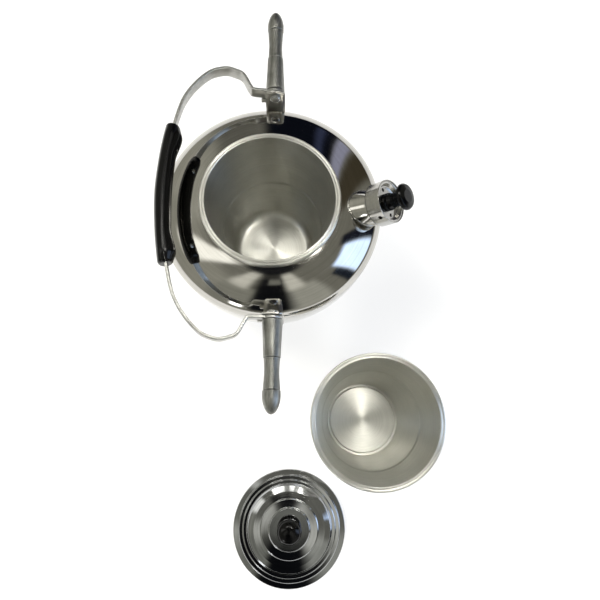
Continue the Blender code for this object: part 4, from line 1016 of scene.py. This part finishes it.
def screw_head():
    """A pan head with a slot, its top at local -Z."""
    mesh = spin_mesh(rounded([(0.0, -GRIP_SCREW_HEAD_THICK, 0.0, 0),
                              (GRIP_SCREW_HEAD_R * 0.86, -GRIP_SCREW_HEAD_THICK * 0.92, 0.0008, 0),
                              (GRIP_SCREW_HEAD_R, 0.0, 0.0003, 0), (0.0, 0.0, 0.0, 0)]), 40)
    bmesh.ops.recalc_face_normals(mesh, faces=mesh.faces)
    data = bpy.data.meshes.new("screw_head")
    mesh.to_mesh(data)
    mesh.free()
    item = bpy.data.objects.new("screw_head", data)
    bpy.context.scene.collection.objects.link(item)
    slot = bmesh.new()
    bmesh.ops.create_cube(slot, size=1.0)
    bmesh.ops.scale(slot, verts=slot.verts, vec=(GRIP_SCREW_HEAD_R * 3, 0.0008, 0.0012))
    bmesh.ops.translate(slot, verts=slot.verts, vec=(0.0, 0.0, -GRIP_SCREW_HEAD_THICK))
    cutter_data = bpy.data.meshes.new("slot")
    slot.to_mesh(cutter_data)
    slot.free()
    cutter = bpy.data.objects.new("slot", cutter_data)
    bpy.context.scene.collection.objects.link(cutter)
    cut(item, [cutter])
    return item


def screw_tree(head):
    """A screw head at every point, turned as the point's own direction says."""
    tree = bpy.data.node_groups.new("screws_at_points", "GeometryNodeTree")
    face = tree.interface
    face.new_socket("Points", in_out="INPUT", socket_type="NodeSocketGeometry")
    face.new_socket("Head", in_out="INPUT", socket_type="NodeSocketObject")
    face.new_socket("Size", in_out="INPUT", socket_type="NodeSocketFloat")
    face.new_socket("Finish", in_out="INPUT", socket_type="NodeSocketMaterial")
    face.new_socket("Screws", in_out="OUTPUT", socket_type="NodeSocketGeometry")
    given = add(tree, "NodeGroupInput").outputs
    source = add(tree, "GeometryNodeObjectInfo", {"Object": given["Head"]}).outputs["Geometry"]
    facing = add(tree, "GeometryNodeInputNamedAttribute", {"Name": "facing"}, data_type="FLOAT_VECTOR").outputs[0]
    turn = add(tree, "FunctionNodeAlignRotationToVector", {"Vector": facing}, axis="Z").outputs[0]
    size = add(tree, "ShaderNodeCombineXYZ", {0: given["Size"], 1: given["Size"], 2: given["Size"]}).outputs[0]
    made = add(tree, "GeometryNodeInstanceOnPoints", {"Points": given["Points"], "Instance": source,
                                                      "Rotation": turn, "Scale": size}).outputs[0]
    made = add(tree, "GeometryNodeRealizeInstances", {"Geometry": made}).outputs[0]
    made = add(tree, "GeometryNodeSetMaterial", {"Geometry": made, "Material": given["Finish"]}).outputs[0]
    add(tree, "NodeGroupOutput", {"Screws": made})
    return tree


def screws():
    head = screw_head()
    tree = screw_tree(head)
    places = []
    facings = []
    for side in (1, -1):
        matrix = screw_frame(side)
        facing = matrix.to_3x3() @ Vector((0.0, 0.0, 1.0))
        places.append(matrix.translation - facing * (GRIP_SCREW_SEAT + GAP))
        facings += list(facing)
    data = bpy.data.meshes.new("screw_points")
    data.from_pydata([tuple(place) for place in places], [], [])
    data.attributes.new("facing", "FLOAT_VECTOR", "POINT").data.foreach_set("vector", facings)
    made = grown(tree, data, {"Head": head, "Size": 1.0, "Finish": ZINC})
    dress("grip_screws", made, [ZINC], "bail", ["grip_screw_rear", "grip_screw_front"])
    bpy.data.objects.remove(head, do_unlink=True)


# Ears and the other solids keep their shapes, with their edges eased

def eased(node, name, width, material, body):
    """A copy of a solid with merged faces and a small bevel on its edges."""
    mesh = bmesh.new()
    mesh.from_mesh(frame["nodes"][node].data)
    bmesh.ops.remove_doubles(mesh, verts=mesh.verts, dist=1e-6)
    bmesh.ops.dissolve_limit(mesh, angle_limit=radians(1), verts=mesh.verts, edges=mesh.edges)
    data = bpy.data.meshes.new(name)
    mesh.to_mesh(data)
    mesh.free()
    item = bpy.data.objects.new(name, data)
    bpy.context.scene.collection.objects.link(item)
    modifier = item.modifiers.new("edges", "BEVEL")
    modifier.width = width
    modifier.segments = 2
    modifier.limit_method = "ANGLE"
    modifier.angle_limit = radians(40)
    bpy.context.view_layer.update()
    made = bpy.data.meshes.new_from_object(item.evaluated_get(bpy.context.evaluated_depsgraph_get()))
    item.modifiers.clear()
    bpy.data.objects.remove(item, do_unlink=True)
    return dress(name, made, [material], body, [node])


def bead_tree():
    """A round bead that follows a closed path."""
    tree = bpy.data.node_groups.new("bead_along_path", "GeometryNodeTree")
    face = tree.interface
    face.new_socket("Path", in_out="INPUT", socket_type="NodeSocketGeometry")
    face.new_socket("Radius", in_out="INPUT", socket_type="NodeSocketFloat")
    face.new_socket("Finish", in_out="INPUT", socket_type="NodeSocketMaterial")
    face.new_socket("Bead", in_out="OUTPUT", socket_type="NodeSocketGeometry")
    given = add(tree, "NodeGroupInput").outputs
    path = add(tree, "GeometryNodeMeshToCurve", {"Mesh": given["Path"]}).outputs["Curve"]
    section = add(tree, "GeometryNodeCurvePrimitiveCircle", {"Radius": given["Radius"],
                                                             "Resolution": 12}).outputs["Curve"]
    bead = add(tree, "GeometryNodeCurveToMesh", {"Curve": path, "Profile Curve": section}).outputs["Mesh"]
    bead = add(tree, "GeometryNodeRealizeInstances", {"Geometry": bead}).outputs[0]
    bead = add(tree, "GeometryNodeSetMaterial", {"Geometry": bead, "Material": given["Finish"]}).outputs[0]
    add(tree, "NodeGroupOutput", {"Bead": bead})
    return tree


bowl()
shoulder()
base_plate()
foot_line = spout_neck()
bead_mesh = grown(bead_tree(), path_mesh(foot_line, closed=True), {"Radius": 0.0009, "Finish": POLISHED})
dress("spout_weld", bead_mesh, [POLISHED], "kettle", [])
whistle()
whistle_knob()
pot()
cup()
lid()
bail()
grip()
screws()
for side, mark in ((1, "rear"), (-1, "front")):
    side_handle(mark, side)
    eased(f"ear_{mark}", f"ear_plate_{mark}", 0.00035, PLATE, "kettle")
    frame["nodes"][f"pivot_stud_{mark}"].data.materials[0] = ZINC
for node, material in (("whistle_reed", TIN), ("whistle_screw", ZINC), ("lid_washer", ZINC), ("lid_screw", ZINC)):
    frame["nodes"][node].data.materials[0] = material


# Floor, light tent, lamps and camera

def floor():
    data = bpy.data.meshes.new("floor")
    reach = 1.7
    data.from_pydata([(-reach, -reach, 0.0), (reach, -reach, 0.0), (reach, reach, 0.0), (-reach, reach, 0.0)], [],
                     [(0, 1, 2, 3)])
    material = bpy.data.materials.new("matt_white_paper")
    material.use_nodes = True
    tree = material.node_tree
    tree.nodes.clear()
    light = add(tree, "ShaderNodeLightPath").outputs
    seen = add(tree, "ShaderNodeMath", {0: light["Is Camera Ray"], 1: light["Is Glossy Ray"]},
               operation="ADD").outputs[0]
    seen = add(tree, "ShaderNodeMath", {0: seen, 1: light["Is Transmission Ray"]}, operation="ADD",
               use_clamp=True).outputs[0]
    share = add(tree, "ShaderNodeMath", {0: seen, 1: 0.72}, operation="MULTIPLY").outputs[0]
    paper = add(tree, "ShaderNodeBsdfDiffuse", {"Color": linear("F4F4F2")}).outputs[0]
    glow = add(tree, "ShaderNodeEmission", {"Color": (1.0, 1.0, 1.0, 1.0), "Strength": 1.0}).outputs[0]
    mix = add(tree, "ShaderNodeMixShader", {0: share, 1: paper, 2: glow}).outputs[0]
    add(tree, "ShaderNodeOutputMaterial", {"Surface": mix})
    data.materials.append(material)
    item = bpy.data.objects.new("floor", data)
    bpy.context.scene.collection.objects.link(item)


# Panels of the tent: azimuth and its half width, lowest and highest elevation, soft edge, all in degrees, and colour
TENT_BASE = "85847B"
TENT_PANELS = (
    (180, 62, -5, 62, 14, "A8A79C", 1.0),
    (182, 11, 34, 76, 8, "F0EFE8", 2.0),
    (140, 12, 20, 64, 8, "B4B3A8", 1.0),
    (106, 10, 20, 62, 8, "6E6D66", 1.0),
    (78, 17, -5, 62, 6, "10131C", 1.0),
    (70, 2, 8, 50, 3, "39405A", 1.0),
    (58, 3.5, 5, 60, 3, "A9ABC4", 1.0),
    (45, 8, -5, 60, 6, "4A4436", 1.0),
    (8, 5, 5, 60, 3, "1B1E2A", 1.0),
    (-10, 12, 8, 56, 4, "BFD4F4", 3.0),
    (-27, 4, 5, 50, 3, "1E2530", 1.0),
    (-62, 18, -5, 60, 8, "AFAFA6", 1.15),
    (-92, 19, 8, 80, 14, "141518", 1.0),
    (-125, 16, -5, 60, 8, "9A9A90", 1.0),
    (-117, 4, 12, 26, 3, "FFFFFF", 6.0),
    (-64, 10, 58, 84, 10, "C4C3BA", 1.6),
    (-128, 10, 58, 84, 10, "C4C3BA", 1.6),
    (-90, 75, 79, 94, 4, "1C1D20", 1.0),
    (-88, 9, 69, 75, 3, "8E8E86", 1.0),
    (92, 40, 60, 76, 6, "DAD9D0", 1.5),
    (32, 20, 74.5, 79, 2, "FFFDF6", 28.0),
    (124, 20, 68, 75, 3, "FFFDF6", 8.0),
    (77, 8, 70, 75, 3, "FFFDF6", 8.0),
)
TENT_R = 2.4


def tent():
    """A dome of pale, dark and blue cards round the table, which only the metal shows."""
    columns, rows = 240, 48
    base = Vector(linear(TENT_BASE)[:3])
    panels = [(azimuth, width, low, high, soft, Vector(linear(code)[:3]) * level)
              for azimuth, width, low, high, soft, code, level in TENT_PANELS]

    def ease(value):
        value = max(0.0, min(1.0, value))
        return value * value * (3 - 2 * value)

    points = []
    colours = []
    for row in range(rows + 1):
        elevation = 90 * row / rows
        for column in range(columns):
            azimuth = 360 * column / columns
            colour = base.copy()
            for centre, width, low, high, soft, panel in panels:
                apart = abs((azimuth - centre + 180) % 360 - 180)
                mask = ease((width - apart) / soft + 0.5) * ease((elevation - low) / soft + 0.5)
                mask *= ease((high - elevation) / soft + 0.5)
                colour = colour.lerp(panel, mask)
            points.append((TENT_R * cos(radians(azimuth)) * cos(radians(elevation)),
                           TENT_R * sin(radians(azimuth)) * cos(radians(elevation)),
                           TENT_R * sin(radians(elevation))))
            colours += [*colour, 1.0]
    faces = []
    for row in range(rows):
        for column in range(columns):
            beside = (column + 1) % columns
            faces.append((row * columns + column, (row + 1) * columns + column,
                          (row + 1) * columns + beside, row * columns + beside))
    data = bpy.data.meshes.new("tent")
    data.from_pydata(points, [], faces)
    data.attributes.new("card", "FLOAT_COLOR", "POINT").data.foreach_set("color", colours)
    material = bpy.data.materials.new("tent_cards")
    material.use_nodes = True
    tree = material.node_tree
    tree.nodes.clear()
    card = add(tree, "ShaderNodeAttribute", attribute_name="card").outputs["Color"]
    glow = add(tree, "ShaderNodeEmission", {"Color": card, "Strength": 1.0}).outputs[0]
    add(tree, "ShaderNodeOutputMaterial", {"Surface": glow})
    data.materials.append(material)
    item = bpy.data.objects.new("tent", data)
    bpy.context.scene.collection.objects.link(item)
    item.visible_camera = False


def lamp(name, place, size, power, colour):
    """A square soft lamp that faces the middle of the pieces."""
    data = bpy.data.lights.new(name, "AREA")
    data.shape = "SQUARE"
    data.size = size
    data.energy = power
    data.color = linear(colour)[:3]
    item = bpy.data.objects.new(name, data)
    bpy.context.scene.collection.objects.link(item)
    item.location = place
    aim = Vector((0.03, -0.12, 0.10)) - Vector(place)
    item.rotation_euler = aim.to_track_quat("-Z", "Y").to_euler()
    item.visible_glossy = False


def world():
    surroundings = bpy.data.worlds.new("white_room")
    bpy.context.scene.world = surroundings
    surroundings.use_nodes = True
    shader = surroundings.node_tree.nodes["Background"]
    shader.inputs["Color"].default_value = (1.0, 1.0, 1.0, 1.0)
    shader.inputs["Strength"].default_value = 1.0


def camera():
    """The photograph's view: almost straight down, from in front of the kettle."""
    data = bpy.data.cameras.new("camera")
    data.sensor_width = 36.0
    data.lens = 30.0
    data.clip_start = 0.01
    item = bpy.data.objects.new("camera", data)
    bpy.context.scene.collection.objects.link(item)
    right = Vector((0.99969, 0.0, 0.02504))
    up = Vector((-0.00548, 0.97574, 0.21885))
    back = right.cross(up).normalized()
    up = back.cross(right).normalized()
    turn = Matrix((right, up, back)).transposed().to_4x4()
    item.matrix_world = Matrix.Translation((0.018391, -0.210555, 0.656868)) @ turn
    bpy.context.scene.camera = item


floor()
tent()
world()
lamp("key_lamp", (-0.75, 0.35, 1.35), 0.55, 30.0, "FFFAF0")
lamp("side_lamp", (1.15, -0.95, 0.85), 0.45, 15.0, "EEF3FF")
lamp("front_lamp", (-0.45, -1.35, 1.05), 0.40, 17.0, "FFFDF6")
camera()
bpy.context.scene.view_settings.view_transform = "Standard"
